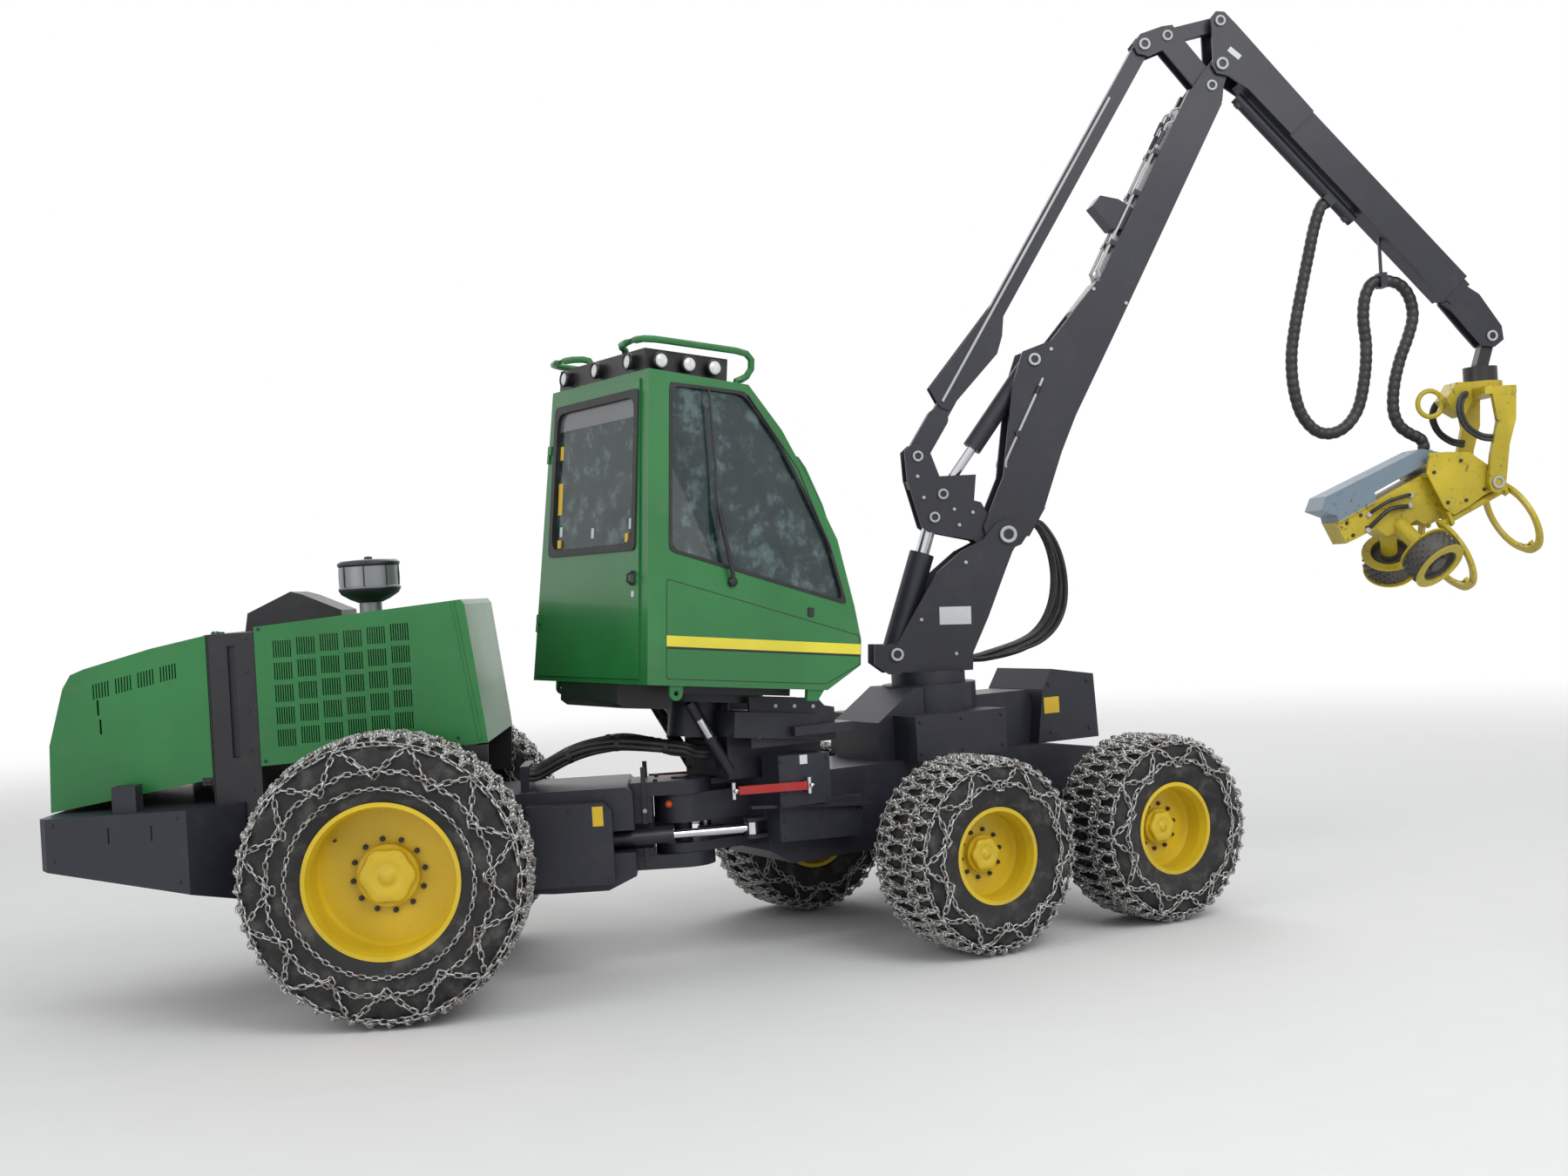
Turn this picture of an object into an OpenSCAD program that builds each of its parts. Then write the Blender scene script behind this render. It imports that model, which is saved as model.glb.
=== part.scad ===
// Articulated six-wheel forestry harvester, millimetres.
// X forwards along the rear frame, Y to the left, Z up from the ground under the rear axle.

/* [Running gear] */
// Outer radius of a rear wheel over its chain studs
rear_wheel_r = 850; // [820:5:880]
// Width of a rear tyre
rear_tyre_w = 590; // [560:5:610]
// Radius of a rear rim at its flange
rear_rim_r = 457; // [440:1:470]
// Outer radius of a front wheel over its chain studs
front_wheel_r = 630; // [600:5:645]
// Width of a front tyre
front_tyre_w = 560; // [520:5:580]
// Radius of a front rim at its flange
front_rim_r = 308; // [295:1:320]
// Height of the chain studs above the tread
chain_h = 34; // [24:1:44]
// Distance of each wheel's middle from the centreline
half_track = 1120; // [1110:5:1150]
// Distance from the rear axle to the frame joint
joint_x = 1720; // [1690:5:1760]
// Distance from the frame joint to the bogie axle
bogie_x = 2260; // [2230:5:2300]
// Distance between the two wheels of a bogie
bogie_base = 1480; // [1460:5:1500]
// Steering angle in which the machine stands, to the left
steer_rest = 27.4; // [20:0.2:30]
// Bore radius of the tow eyes
tow_bore_r = 26; // [22:1:32]
// Radius of the bogie's bearing tube
bogie_tube_r = 120; // [100:5:130]

/* [Rear frame] */
// Half width of the rear frame beam
rear_beam_half = 420; // [380:5:440]
// Half width of the engine cover and hood
cover_half = 720; // [700:5:730]
// Wall of the engine cover and hood
cover_wall = 40; // [25:1:50]
// Half width of the bumper box
bumper_half = 1000; // [960:5:1040]
// Rear end of the hood
hood_rear_x = -2060; // [-2090:5:-2040]
// Seam between hood and cooler pillar
hood_seam_x = -1080; // [-1100:5:-1070]
// Seam between cooler pillar and engine cover
cover_seam_x = -793; // [-810:1:-780]
// Front top edge of the engine cover
cover_front_x = 460; // [440:5:480]
// Height of the hood at its rear bend
hood_rear_z = 2150; // [2120:5:2180]
// Height of the hood at the cooler pillar
hood_seam_z = 2315; // [2290:5:2340]
// Height of the engine cover at its front
cover_front_z = 2440; // [2410:5:2470]

/* [Front frame] */
// Half width of the front frame beam
front_beam_half = 380; // [340:5:390]
// Distance from the frame joint to the crane's slewing axis
slew_x = 2000; // [1960:5:2050]
// Slewing angle in which the crane stands, to the right of straight ahead
slew_rest = -23.4; // [-30:0.2:-15]
// Height of the turret's bearing face
turret_z = 1662; // [1640:2:1680]

/* [Cab] */
// Half width of the cab at its floor
cab_half = 800; // [760:5:820]
// Half width of the cab at its roof
cab_top_half = 672; // [650:2:720]
// Height of the cab
cab_h = 1920; // [1880:5:1960]
// Length of the cab at its widest
cab_len = 1560; // [1520:5:1600]
// Thickness of the cab's walls
cab_wall = 45; // [35:1:60]
// Thickness of the window glass
glass_t = 8; // [6:1:12]
// Distance of the cab's swing axis ahead of its rear face
cab_pivot = 820; // [780:5:860]
// Distance of the swing axis ahead of the frame joint
cab_x = 180; // [150:5:210]
// Height of the cab's floor on the swing axis
cab_z = 1783; // [1770:1:1810]
// Forward lean of the levelled cab
cab_lean = 6; // [0:0.5:7]
// Swing of the cab to the left of straight ahead
cab_swing = 2.6; // [0:0.2:5]

/* [Crane] */
// Thickness of the crane's side plates
plate_t = 25; // [18:1:28]
// Radius of the main boom's foot pin
foot_pin_r = 40; // [30:1:45]
// Radius of the other crane pins
link_pin_r = 28; // [20:1:32]
// Width of the long rear bar
bar_w = 115; // [95:5:125]
// Length that the telescopic extension has inside the stick boom
ext_inside = 1750; // [1650:10:1800]
// Bore radius of the lift cylinder's barrel
lift_barrel_r = 88; // [80:1:92]
// Radius of the lift cylinder's rod
lift_rod_r = 50; // [40:1:55]
// Radius of the knuckle cylinder's barrel
knuckle_barrel_r = 68; // [60:1:72]
// Radius of the knuckle cylinder's rod
knuckle_rod_r = 36; // [30:1:42]

/* [Head] */
// Lean of the hanging head
head_lean = 25; // [15:1:30]
// Radius of a feed roller
roller_r = 205; // [190:5:215]
// Width of a feed roller
roller_w = 190; // [160:5:220]

/* [Fits] */
// Gap between parts that turn or slide in each other
run_gap = 0.4; // [0.3:0.05:0.6]
// Gap between parts that sit on each other
seat_gap = 0.3; // [0.2:0.05:0.5]

/* [Hidden] */
$fn = 64;

green = [0.07, 0.36, 0.16];
yellow = [0.80, 0.68, 0.10];
charcoal = [0.16, 0.17, 0.20];
black = [0.06, 0.06, 0.07];
chrome = [0.80, 0.82, 0.85];
steel = [0.55, 0.56, 0.58];
glass = [0.65, 0.75, 0.80, 0.35];

rear_hub_z = rear_wheel_r;
front_hub_z = front_wheel_r;
wheel_x = [bogie_x - bogie_base / 2, bogie_x + bogie_base / 2];
chain_bars = 26;
joint_pin_r = 60;

// Crane points in its own upright plane: distance ahead of the slewing axis, height
p_foot = [600, 2675];
p_lift_low = [-240, 1880];
p_lift_rod = [95, 2825];
p_knuckle_rod = [165, 2985];
p_knuckle_top = [870, 3900];
p_bar_low = [0, 3260];
p_bar_top = [1825, 6125];
p_lever = [2297, 5811];
p_link_low = [1998, 6183];
p_link_top = [2377, 6265];
p_stick = [2373, 5956];
p_tip = [4320, 3930];
p_rotator = [4250, 3700];
p_tilt = [4190, 2850];
stick_from = [2600, 5907];
stick_to = [4050, 4287];

// Layers of the crane's plates, as distances of their inner faces from the middle
eye_half = 40;
lever_face = 45;
rocker_face = 65;
ear_face = 70;
boom_face = 95;
column_face = 125;

// General shapes

function unit(v) = v / norm(v);
// Convex outline, points clockwise, with each edge moved inwards by d
function inset(points, d) = let (n = len(points)) [for (i = [0 : n - 1])
    let (u = unit(points[i] - points[(i + n - 1) % n]), v = unit(points[(i + 1) % n] - points[i]))
    points[i] + d * [u[1] + v[1], -u[0] - v[0]] / (1 + u * v)];

// Outline of [x, z] points carried across the machine, centred on y
module side_shape(points, y, width)
    translate([0, y + width / 2, 0]) rotate([90, 0, 0]) linear_extrude(width) polygon(points);

// The same outline twice, with its inner faces at the distance face from the middle
module side_pair(points, face, thick)
    for (s = [-1, 1]) side_shape(points, s * (face + thick / 2), thick);

// Round pin or boss across the machine at an [x, z] point
module cross_pin(p, r, width, y = 0)
    translate([p[0], y + width / 2, p[1]]) rotate([90, 0, 0]) cylinder(h = width, r = r);

// Round bar between two [x, z] points
module side_tube(a, b, r, y = 0)
    translate([a[0], y, a[1]]) rotate([0, atan2(b[0] - a[0], b[1] - a[1]), 0])
        cylinder(h = norm(b - a), r = r);

// Flat bar with round ends of the width w between two [x, z] points
module side_bar(a, b, w, y, thick) {
    turn = atan2(b[1] - a[1], b[0] - a[0]);
    side_shape(concat(
        [for (k = [-90 : 15 : 90]) b + w / 2 * [cos(turn + k), sin(turn + k)]],
        [for (k = [90 : 15 : 270]) a + w / 2 * [cos(turn + k), sin(turn + k)]]), y, thick);
}

// Round boss on the outer faces of two plates, at an [x, z] point
module pin_boss(p, r, face, thick) side_pair([for (a = [0 : 15 : 345]) p + r * [cos(a), sin(a)]], face, thick);

// Block from its low to its high corner
module block(low, high) translate(low) cube(high - low);

module on_front() translate([joint_x, 0, 0]) rotate([0, 0, steer_rest]) children();
module on_crane() on_front() translate([slew_x, 0, 0]) rotate([0, 0, slew_rest]) children();
module on_cab() on_front() translate([cab_x, 0, cab_z]) rotate([0, cab_lean, 0]) rotate([0, 0, cab_swing])
    translate([-cab_pivot, 0, 0]) children();
module on_head() on_crane() translate([p_tilt[0], 0, p_tilt[1]]) rotate([0, -head_lean, 0]) children();

// Wheels

// Share of a tyre's width that its beads and rim take
bead_share = 0.86;

// Tyre about the Y axis with the zig-zag bars of its chain
module tyre(outer_r, width, rim_r) {
    tread_r = outer_r - chain_h;
    half = width / 2;
    wall = tread_r - rim_r;
    profile = [
        [rim_r + seat_gap, -half * bead_share], [rim_r + wall * 0.35, -half], [rim_r + wall * 0.7, -half * 0.99],
        [tread_r - 30, -half * bead_share], [tread_r, -half * 0.7], [tread_r, half * 0.7],
        [tread_r - 30, half * bead_share], [rim_r + wall * 0.7, half * 0.99], [rim_r + wall * 0.35, half],
        [rim_r + seat_gap, half * bead_share]];
    bar_len = width * 0.74;
    rotate([90, 0, 0]) {
        rotate_extrude() polygon(profile);
        for (i = [0 : chain_bars - 1]) rotate((i + 0.5) * 360 / chain_bars - 90)
            translate([tread_r - 25, 0, 0]) rotate([(i % 2 == 0 ? 1 : -1) * 14, 0, 0])
                translate([0, -22, -bar_len / 2]) cube([25 + chain_h - 5, 44, bar_len]);
        for (i = [0 : chain_bars - 1]) rotate(i * 360 / chain_bars - 90)
            translate([tread_r - 25, -26, -bar_len / 2]) cube([25 + chain_h, 52, bar_len]);
    }
}

// Dished rim about the Y axis, outer side towards -Y, with its disc disc_in inside the outer flange
module rim(rim_r, width, disc_in, cap_r, cap_h) {
    half = width / 2 * bead_share;
    wall = 14;
    shell = [
        [rim_r - 26, -half], [rim_r, -half], [rim_r, -half + 30], [rim_r - 12, -half + 60],
        [rim_r - 12, half - 60], [rim_r, half - 30], [rim_r, half], [rim_r - 26, half],
        [rim_r - 26 - wall, half - 70], [rim_r - 26 - wall, -half + disc_in + 22], [0, -half + disc_in + 22],
        [0, -half + disc_in - cap_h], [cap_r - 8, -half + disc_in - cap_h], [cap_r, -half + disc_in - cap_h + 8],
        [cap_r, -half + disc_in], [rim_r - 60, -half + disc_in], [rim_r - 40, -half + disc_in - 30],
        [rim_r - 26 - wall, -half + 60]];
    rotate([90, 0, 0]) mirror([0, 0, 1]) rotate_extrude() polygon(shell);
}

module rear_wheel_place(side) translate([0, side * half_track, rear_hub_z]) children();
module front_wheel_place(side, which)
    on_front() translate([wheel_x[which], side * half_track, front_hub_z]) children();

rear_disc_in = 300;
front_disc_in = 200;

module rear_tyre(side) color(black) rear_wheel_place(side) tyre(rear_wheel_r, rear_tyre_w, rear_rim_r);
module rear_rim(side) color(yellow) rear_wheel_place(side)
    rotate([0, 0, side < 0 ? 0 : 180]) rim(rear_rim_r, rear_tyre_w, rear_disc_in, 185, 60);
module front_tyre(side, which)
    color(black) front_wheel_place(side, which) tyre(front_wheel_r, front_tyre_w, front_rim_r);
module front_rim(side, which) color(yellow) front_wheel_place(side, which)
    rotate([0, 0, side < 0 ? 0 : 180]) rim(front_rim_r, front_tyre_w, front_disc_in, 120, 45);

// Distance from the centreline at which a hub meets the inner face of its rim's disc
rear_disc_y = half_track + (rear_tyre_w / 2 * bead_share - rear_disc_in - 22);
front_disc_y = half_track + (front_tyre_w / 2 * bead_share - front_disc_in - 22);

// Rear frame

axle_r = 125;
module rear_axle() color(charcoal) translate([0, 0, rear_hub_z]) {
    hub_y = rear_disc_y - seat_gap;
    rotate([90, 0, 0]) translate([0, 0, -hub_y]) cylinder(h = 2 * hub_y, r = axle_r);
    for (s = [-1, 1]) rotate([s * -90, 0, 0]) translate([0, 0, hub_y - 190]) cylinder(h = 190, r = 210);
    rotate([90, 0, 0]) translate([0, 0, -170]) cylinder(h = 340, r = 270);
}

beam_low = 560;
beam_deck_z = 1200;
bumper_top_z = 1290;
steer_z = 860;
steer_r = 50;
steer_rod_r = 28;
// Pins of the steering cylinders: ahead of the rear axle, and ahead of the joint on the front frame
function steer_back(side) = [1000, side * 330];
steer_front = [330, 330];
function steer_eye(side) =
    let (p = [steer_front[0], side * steer_front[1]]) [joint_x + p[0] * cos(steer_rest) - p[1] * sin(steer_rest),
        p[0] * sin(steer_rest) + p[1] * cos(steer_rest)];
lug_z = [[640, 730], [1110, 1200]];
module rear_chassis() color(charcoal) {
    difference() {
        union() {
            side_shape([[-1150, 900], [-900, beam_low + 120], [900, beam_low], [1240, beam_low], [1420, 640],
                [1420, beam_deck_z - 40], [1380, beam_deck_z], [-1150, beam_deck_z]], 0, 2 * rear_beam_half);
            for (z = lug_z) {
                block([1400, -200, z[0]], [joint_x, 200, z[1]]);
                translate([joint_x, 0, z[0]]) cylinder(h = z[1] - z[0], r = 200);
            }
            block([rear_hose_stand - 40, -200, beam_deck_z - 1], [rear_hose_stand + 14.7, 200, 1350]);
            for (s = [-1, 1]) side_shape([[760, 620], [1290, 620], [1290, 1080], [1240, 1130], [760, 1130]],
                s * (rear_beam_half + 70), 140);
        }
        for (z = lug_z) translate([joint_x, 0, z[0] - 1])
            cylinder(h = z[1] - z[0] + 2, r = joint_pin_r + run_gap);
        // Slots in which the steering cylinders swing
        for (s = [-1, 1]) block([880, s * 298 - 148, steer_z - 70], [1600, s * 298 + 148, steer_z + 70]);
        rotate([90, 0, 0]) translate([0, rear_hub_z, -2000]) cylinder(h = 4000, r = 270 + seat_gap);
    }
    for (s = [-1, 1]) translate([steer_back(s)[0], steer_back(s)[1], steer_z - 75])
        cylinder(h = 150, r = link_pin_r - run_gap);
}

module engine_block() color(steel) block([-640, -330, beam_deck_z + seat_gap], [380, 330, 2140]);

cover_outline = [
    [cover_seam_x, 1500], [577, 1560], [570, 1640], [cover_front_x + 22, cover_front_z - 30],
    [cover_front_x, cover_front_z], [cover_seam_x, hood_seam_z + 30]];
cover_inside = [
    [cover_seam_x - 1, 1499], [cover_seam_x + 1, 1400], [530, 1400], [530, 1640],
    [cover_front_x - 30, cover_front_z - cover_wall - 10], [cover_seam_x - 1, hood_seam_z + 30 - cover_wall]];
// Side grille: groups of slots, as columns and rows from the low rear corner
grille = [6, 5];
grille_from = [-683, 1612];
grille_step = [142, 135];
grille_rise = 12;
grille_slots = 8;
grille_slot = [7, 104];
grille_pitch = 14.4;

module grille_wall() difference() {
    polygon(cover_outline);
    for (c = [0 : grille[0] - 1], r = [0 : grille[1] - 1], k = [0 : grille_slots - 1])
        translate(grille_from + [c * grille_step[0] + k * grille_pitch, r * grille_step[1] + c * grille_rise])
            square(grille_slot);
}
module engine_cover() color(green) {
    difference() {
        side_shape(cover_outline, 0, 2 * (cover_half - cover_wall) + 2);
        side_shape(cover_inside, 0, 2 * cover_half);
    }
    for (s = [-1, 1]) translate([0, s * (cover_half - cover_wall / 2) + cover_wall / 2, 0]) rotate([90, 0, 0])
        linear_extrude(cover_wall) grille_wall();
    // raised fold along the front edge
    side_pair([[404, cover_front_z - 6], [524, 1580], [540, 1582], [418, cover_front_z - 5]], cover_half - 1, 9);
}

// Hood hinge: a pin in each of the pillar's knuckles, and the hood's knuckles on both sides of it
hood_pin = [-1083, 2318];
hood_pin_y = 480;
hood_knuckle_r = 14;
hood_pin_r = 6;
module cooler_pillar() color(charcoal) {
    for (s = [-1, 1]) {
        cross_pin(hood_pin, hood_knuckle_r, 40, s * hood_pin_y);
        cross_pin(hood_pin, hood_pin_r, 110, s * hood_pin_y);
        block([hood_pin[0], s * hood_pin_y - 20, hood_seam_z - 5],
            [hood_pin[0] + 50, s * hood_pin_y + 20, hood_seam_z + 10]);
    }
    difference() {
        pillar_body();
        for (s = [-1, 1], e = [-1, 1]) cross_pin(hood_pin, hood_knuckle_r + 2, 40, s * hood_pin_y + e * 40);
    }
}
module pillar_body() difference() {
    union() {
        side_shape([[hood_seam_x, bumper_top_z + seat_gap], [-900 + seat_gap, bumper_top_z + seat_gap],
            [-900 + seat_gap, beam_deck_z + seat_gap], [cover_seam_x - seat_gap, beam_deck_z + seat_gap],
            [cover_seam_x - seat_gap, hood_seam_z], [hood_seam_x, hood_seam_z]], 0, 2 * (cover_half - 8));
        side_shape([[-1020, hood_seam_z - 1], [-1000, 2430], [-720, 2555], [-640, 2530], [-400, 2418], [-400, 2380],
            [cover_seam_x - 20, hood_seam_z - 1]], 260, 520);
    }
    side_shape(cover_outline, 0, 2 * cover_half);
    for (s = [-1, 1]) block([-960, s * (cover_half - 8) - 25, 1560], [-915, s * (cover_half - 8) + 25, 2240]);
}

hood_outline = [
    [hood_rear_x, bumper_top_z + 6], [hood_rear_x + 14, 1700], [hood_rear_x + 110, 2040], [hood_rear_x + 160, 2120],
    [hood_rear_x + 240, hood_rear_z], [-1420, 2250], [hood_seam_x - 6, hood_seam_z - 4], [hood_seam_x - 6, 1440]];
hood_inside = [
    [hood_rear_x + cover_wall, 1200], [hood_rear_x + cover_wall + 14, 1700],
    [hood_rear_x + cover_wall + 112, 2020], [hood_rear_x + cover_wall + 160, 2085],
    [hood_rear_x + cover_wall + 240, hood_rear_z - cover_wall - 10], [-1420, 2250 - cover_wall],
    [hood_seam_x + 1, hood_seam_z - 4 - cover_wall], [hood_seam_x + 1, 1300]];

// Groups of upright slots that climb with the hood's top edge, and two short slots below the first
hood_slots_from = [-1771, 1964];
hood_groups = 4;
hood_group_step = 135;
hood_group_slots = 6;
hood_slot_step = 17.5;
hood_slot = [8, 92];
hood_climb = 0.2;
hood_short_slots = [[-1752, 1866, 94], [-1742, 1752, 90]];

module hood_wall() difference() {
    polygon(hood_outline);
    for (g = [0 : hood_groups - 1], k = [0 : hood_group_slots - 1]) {
        along = g * hood_group_step + k * hood_slot_step;
        translate(hood_slots_from + [along, along * hood_climb]) square(hood_slot);
    }
    for (h = hood_short_slots) translate([h[0], h[1]]) square([12, h[2]]);
}
module rear_hood() color(green) {
    difference() {
        union() {
            difference() {
                side_shape(hood_outline, 0, 2 * (cover_half - 4 - cover_wall) + 2);
                side_shape(hood_inside, 0, 2 * cover_half);
            }
            for (s = [-1, 1]) translate([0, s * (cover_half - 4 - cover_wall / 2) + cover_wall / 2, 0])
                rotate([90, 0, 0]) linear_extrude(cover_wall) hood_wall();
        }
        for (s = [-1, 1]) cross_pin(hood_pin, hood_knuckle_r + 2, 43, s * hood_pin_y);
    }
    for (s = [-1, 1], e = [-1, 1]) difference() {
        union() {
            cross_pin(hood_pin, hood_knuckle_r, 34, s * hood_pin_y + e * 39);
            block([hood_pin[0] - 60, s * hood_pin_y + e * 39 - 17, hood_pin[1] - hood_knuckle_r - 14],
                [hood_pin[0], s * hood_pin_y + e * 39 + 17, hood_pin[1] - hood_knuckle_r + 8]);
        }
        cross_pin(hood_pin, hood_pin_r + run_gap, 40, s * hood_pin_y + e * 39);
    }
}

// Horizontal lug with a vertical bore for a tow pin, its root at the origin and its eye towards +X
module tow_eye() difference() {
    union() {
        block([-10, -tow_bore_r - 40, -15], [50, tow_bore_r + 40, 15]);
        translate([50, 0, -15]) cylinder(h = 30, r = tow_bore_r + 40);
    }
    translate([50, 0, -20]) cylinder(h = 40, r = tow_bore_r);
}
module bumper_box() color(charcoal) difference() {
    union() {
        translate([-2040, 0, 1150]) rotate([0, 0, 180]) tow_eye();
        intersection() {
            side_shape([[-2040, 985], [-2040, bumper_top_z], [-900, bumper_top_z], [-900, 700], [-1190, 796]],
                0, 2 * bumper_half);
            linear_extrude(3000) polygon([[-2040, -bumper_half + 40], [-2000, -bumper_half], [-1180, -bumper_half],
                [-900, -740], [-900, 740], [-1180, bumper_half], [-2000, bumper_half], [-2040, bumper_half - 40]]);
        }
        for (s = [-1, 1]) block([-1630, s * 850 - 70, bumper_top_z - 1], [-1490, s * 850 + 70, 1445]);
    }
    block([-1150 - seat_gap, -rear_beam_half - seat_gap, 0],
        [-800, rear_beam_half + seat_gap, beam_deck_z + seat_gap]);
    for (x = [-1640, -1390], s = [-1, 1])
        block([x, s * bumper_half - 12, 1125], [x + 10, s * bumper_half + 12, 1215]);
}

air_place = [-165, -250];
module air_cleaner() color(steel) translate([air_place[0], air_place[1], 0]) {
    difference() {
        translate([0, 0, cover_front_z - 110]) cylinder(h = 160, r = 70);
        translate([-air_place[0], -air_place[1], 0])
            side_shape([for (p = cover_outline) [p[0], p[1] + seat_gap]], 0, 2 * cover_half);
    }
    translate([0, 0, cover_front_z + 38]) rotate_extrude() polygon([[0, 0], [122, 0], [176, 34], [192, 62],
        [192, 74], [184, 80], [184, 206], [192, 212], [190, 228], [170, 242], [60, 250], [0, 250]]);
}

// Front frame

front_low = 600;
front_deck_z = 1180;
bogie_axle_z = front_hub_z + 70;
tongue_z = [[lug_z[0][1] + run_gap, 795], [925, lug_z[1][0] - run_gap]];
module front_chassis() color(charcoal) on_front() {
    difference() {
        side_shape([[430, 700], [600, front_low], [3050, front_low + 60], [3150, 800], [3150, 1120],
            [2700, front_deck_z], [400, front_deck_z], [400, 925], [430, 925]], 0, 2 * front_beam_half);
        rotate([90, 0, 0]) translate([bogie_x, bogie_axle_z, -2000]) cylinder(h = 4000, r = bogie_tube_r + 60);
    }
    for (z = tongue_z) {
        block([0, -180, z[0]], [450, 180, z[1]]);
        translate([0, 0, z[0]]) cylinder(h = z[1] - z[0], r = 180);
    }
    translate([3150, 0, 950]) tow_eye();
    translate([0, 0, lug_z[0][0] - 10]) cylinder(h = lug_z[1][1] - lug_z[0][0] + 20, r = joint_pin_r);
    for (s = [-1, 1], z = [steer_z - 66, steer_z + 42]) hull() {
        translate([steer_front[0], s * steer_front[1], z]) cylinder(h = 24, r = 50);
        translate([440, s * (front_beam_half - 60), z]) cylinder(h = 24, r = 60);
    }
    translate([bogie_x, 0, bogie_axle_z]) rotate([90, 0, 0]) translate([0, 0, -front_beam_half - 60])
        cylinder(h = 2 * front_beam_half + 120, r = bogie_tube_r + 60);
    translate([bogie_x, 0, bogie_axle_z]) rotate([90, 0, 0]) translate([0, 0, -780])
        cylinder(h = 1560, r = bogie_tube_r);
}

// Walking beam with a stub for each wheel
module bogie(side) color(charcoal) on_front() difference() {
    union() {
        side_shape([
            [wheel_x[0] - 150, front_hub_z - 110], [wheel_x[0] + 150, front_hub_z - 150],
            [wheel_x[1] - 150, front_hub_z - 150], [wheel_x[1] + 150, front_hub_z - 110],
            [wheel_x[1] + 150, front_hub_z + 110], [bogie_x + 240, front_hub_z + 270],
            [bogie_x - 240, front_hub_z + 270], [wheel_x[0] - 150, front_hub_z + 110]], side * 650, 240);
        for (x = wheel_x) {
            stub = front_disc_y - seat_gap - 760;
            translate([x, side * (760 + stub / 2), front_hub_z]) rotate([90, 0, 0])
                cylinder(h = stub, r = 90, center = true);
        }
    }
    translate([bogie_x, 0, bogie_axle_z]) rotate([90, 0, 0])
        cylinder(h = 3000, r = bogie_tube_r + run_gap, center = true);
}

module crane_base() color(charcoal) on_front() {
    floor_z = front_deck_z + seat_gap;
    translate([slew_x, 0, floor_z]) cylinder(h = turret_z - floor_z, r = 330);
    side_shape([[1380, floor_z], [1380, 1440], [1690, 1655], [1760, 1655], [1760, floor_z]], 0, 560);
    side_shape([[1500, floor_z], [1500, 1480], [2250, 1480], [2250, floor_z]], 0, 1100);
    side_shape([[2230, floor_z], [2230, 1560], [2700, 1560], [2850, floor_z]], 0, 420);
    side_shape([[2700, floor_z], [2760, 1560], [2850, 1700], [3230, 1640], [3250, floor_z]], 0, 640);
}

module side_lockers() color(charcoal) on_front() for (s = [-1, 1]) {
    side_shape([[400, 1000], [400, 1330], [780, 1320], [780, 1000]], s * (front_beam_half + seat_gap + 110), 220);
    side_shape([[435, 770], [435, 1010], [1060, 1010], [1060, 745]], s * (front_beam_half + seat_gap + 70), 140);
}

carrier_r = 420;
module cab_carrier() color(charcoal) on_front() {
    difference() {
        union() {
            block([200, -300, front_deck_z + seat_gap], [900, 300, 1480]);
            block([front_hose_stand, -200, 1250], [201, 200, 1430]);
            block([560, -560, 1440], [1000, 560, 1500]);
        }
        translate([0, 0, 1900]) rotate([0, cab_lean, 0]) block([-2000, -2000, 0], [2000, 2000, 500]);
    }
    translate([cab_x, 0, cab_z]) rotate([0, cab_lean, 0]) {
        translate([0, 0, -100]) cylinder(h = 100 - seat_gap, r = carrier_r);
        translate([0, 0, -330]) cylinder(h = 240, r = 200);
        block([0, -500, -320], [620, 500, -156]);
    }
    for (s = [-1, 1]) {
        side_tube([225, 1240], [-40, 1700], 38, s * 270);
        side_shape([[290, 1380], [290, 1712], [800, 1666], [850, 1612], [925, 1596], [925, 1380]], s * 450, 20);
    }
}

// Free hoses over the frame joint, one tube as a bundle
hose_r = 46;
hose_sides = [-150, 0, 150];
rear_hose_stand = 745;
front_hose_stand = 150;
hose_rear_run = [[760, 1290], [810, 1290], [900, 1335], [1010, 1390], [1130, 1430], [1260, 1450], [1390, 1450]];
hose_front_run = [[-60, 1405], [20, 1375], [80, 1362], [115, 1360], [149.7, 1360]];
function joint_hose_path(y) = concat(
    [for (p = hose_rear_run) [p[0], y, p[1]]],
    [for (p = hose_front_run) [joint_x + p[0] * cos(steer_rest) - y * sin(steer_rest),
        p[0] * sin(steer_rest) + y * cos(steer_rest), p[1]]]);
function tangent(path, i) =
    unit(path[min(i + 1, len(path) - 1)] - path[max(i - 1, 0)]);
function ring(path, i, r, sides) =
    let (t = tangent(path, i), u = unit(cross(t, [0.03, 1, 0.02])), v = cross(t, u))
    [for (k = [0 : sides - 1]) path[i] + r * (cos(k * 360 / sides) * u + sin(k * 360 / sides) * v)];
module swept_tube(path, r, sides = 10) {
    n = len(path);
    points = [for (i = [0 : n - 1], p = ring(path, i, r, sides)) p];
    walls = [for (i = [0 : n - 2], k = [0 : sides - 1])
        [i * sides + k, (i + 1) * sides + k, (i + 1) * sides + (k + 1) % sides, i * sides + (k + 1) % sides]];
    caps = [[for (k = [0 : sides - 1]) k], [for (k = [sides - 1 : -1 : 0]) (n - 1) * sides + k]];
    polyhedron(points, concat(walls, caps));
}
module joint_hoses() color(black) for (y = hose_sides) swept_tube(joint_hose_path(y), hose_r);

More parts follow.
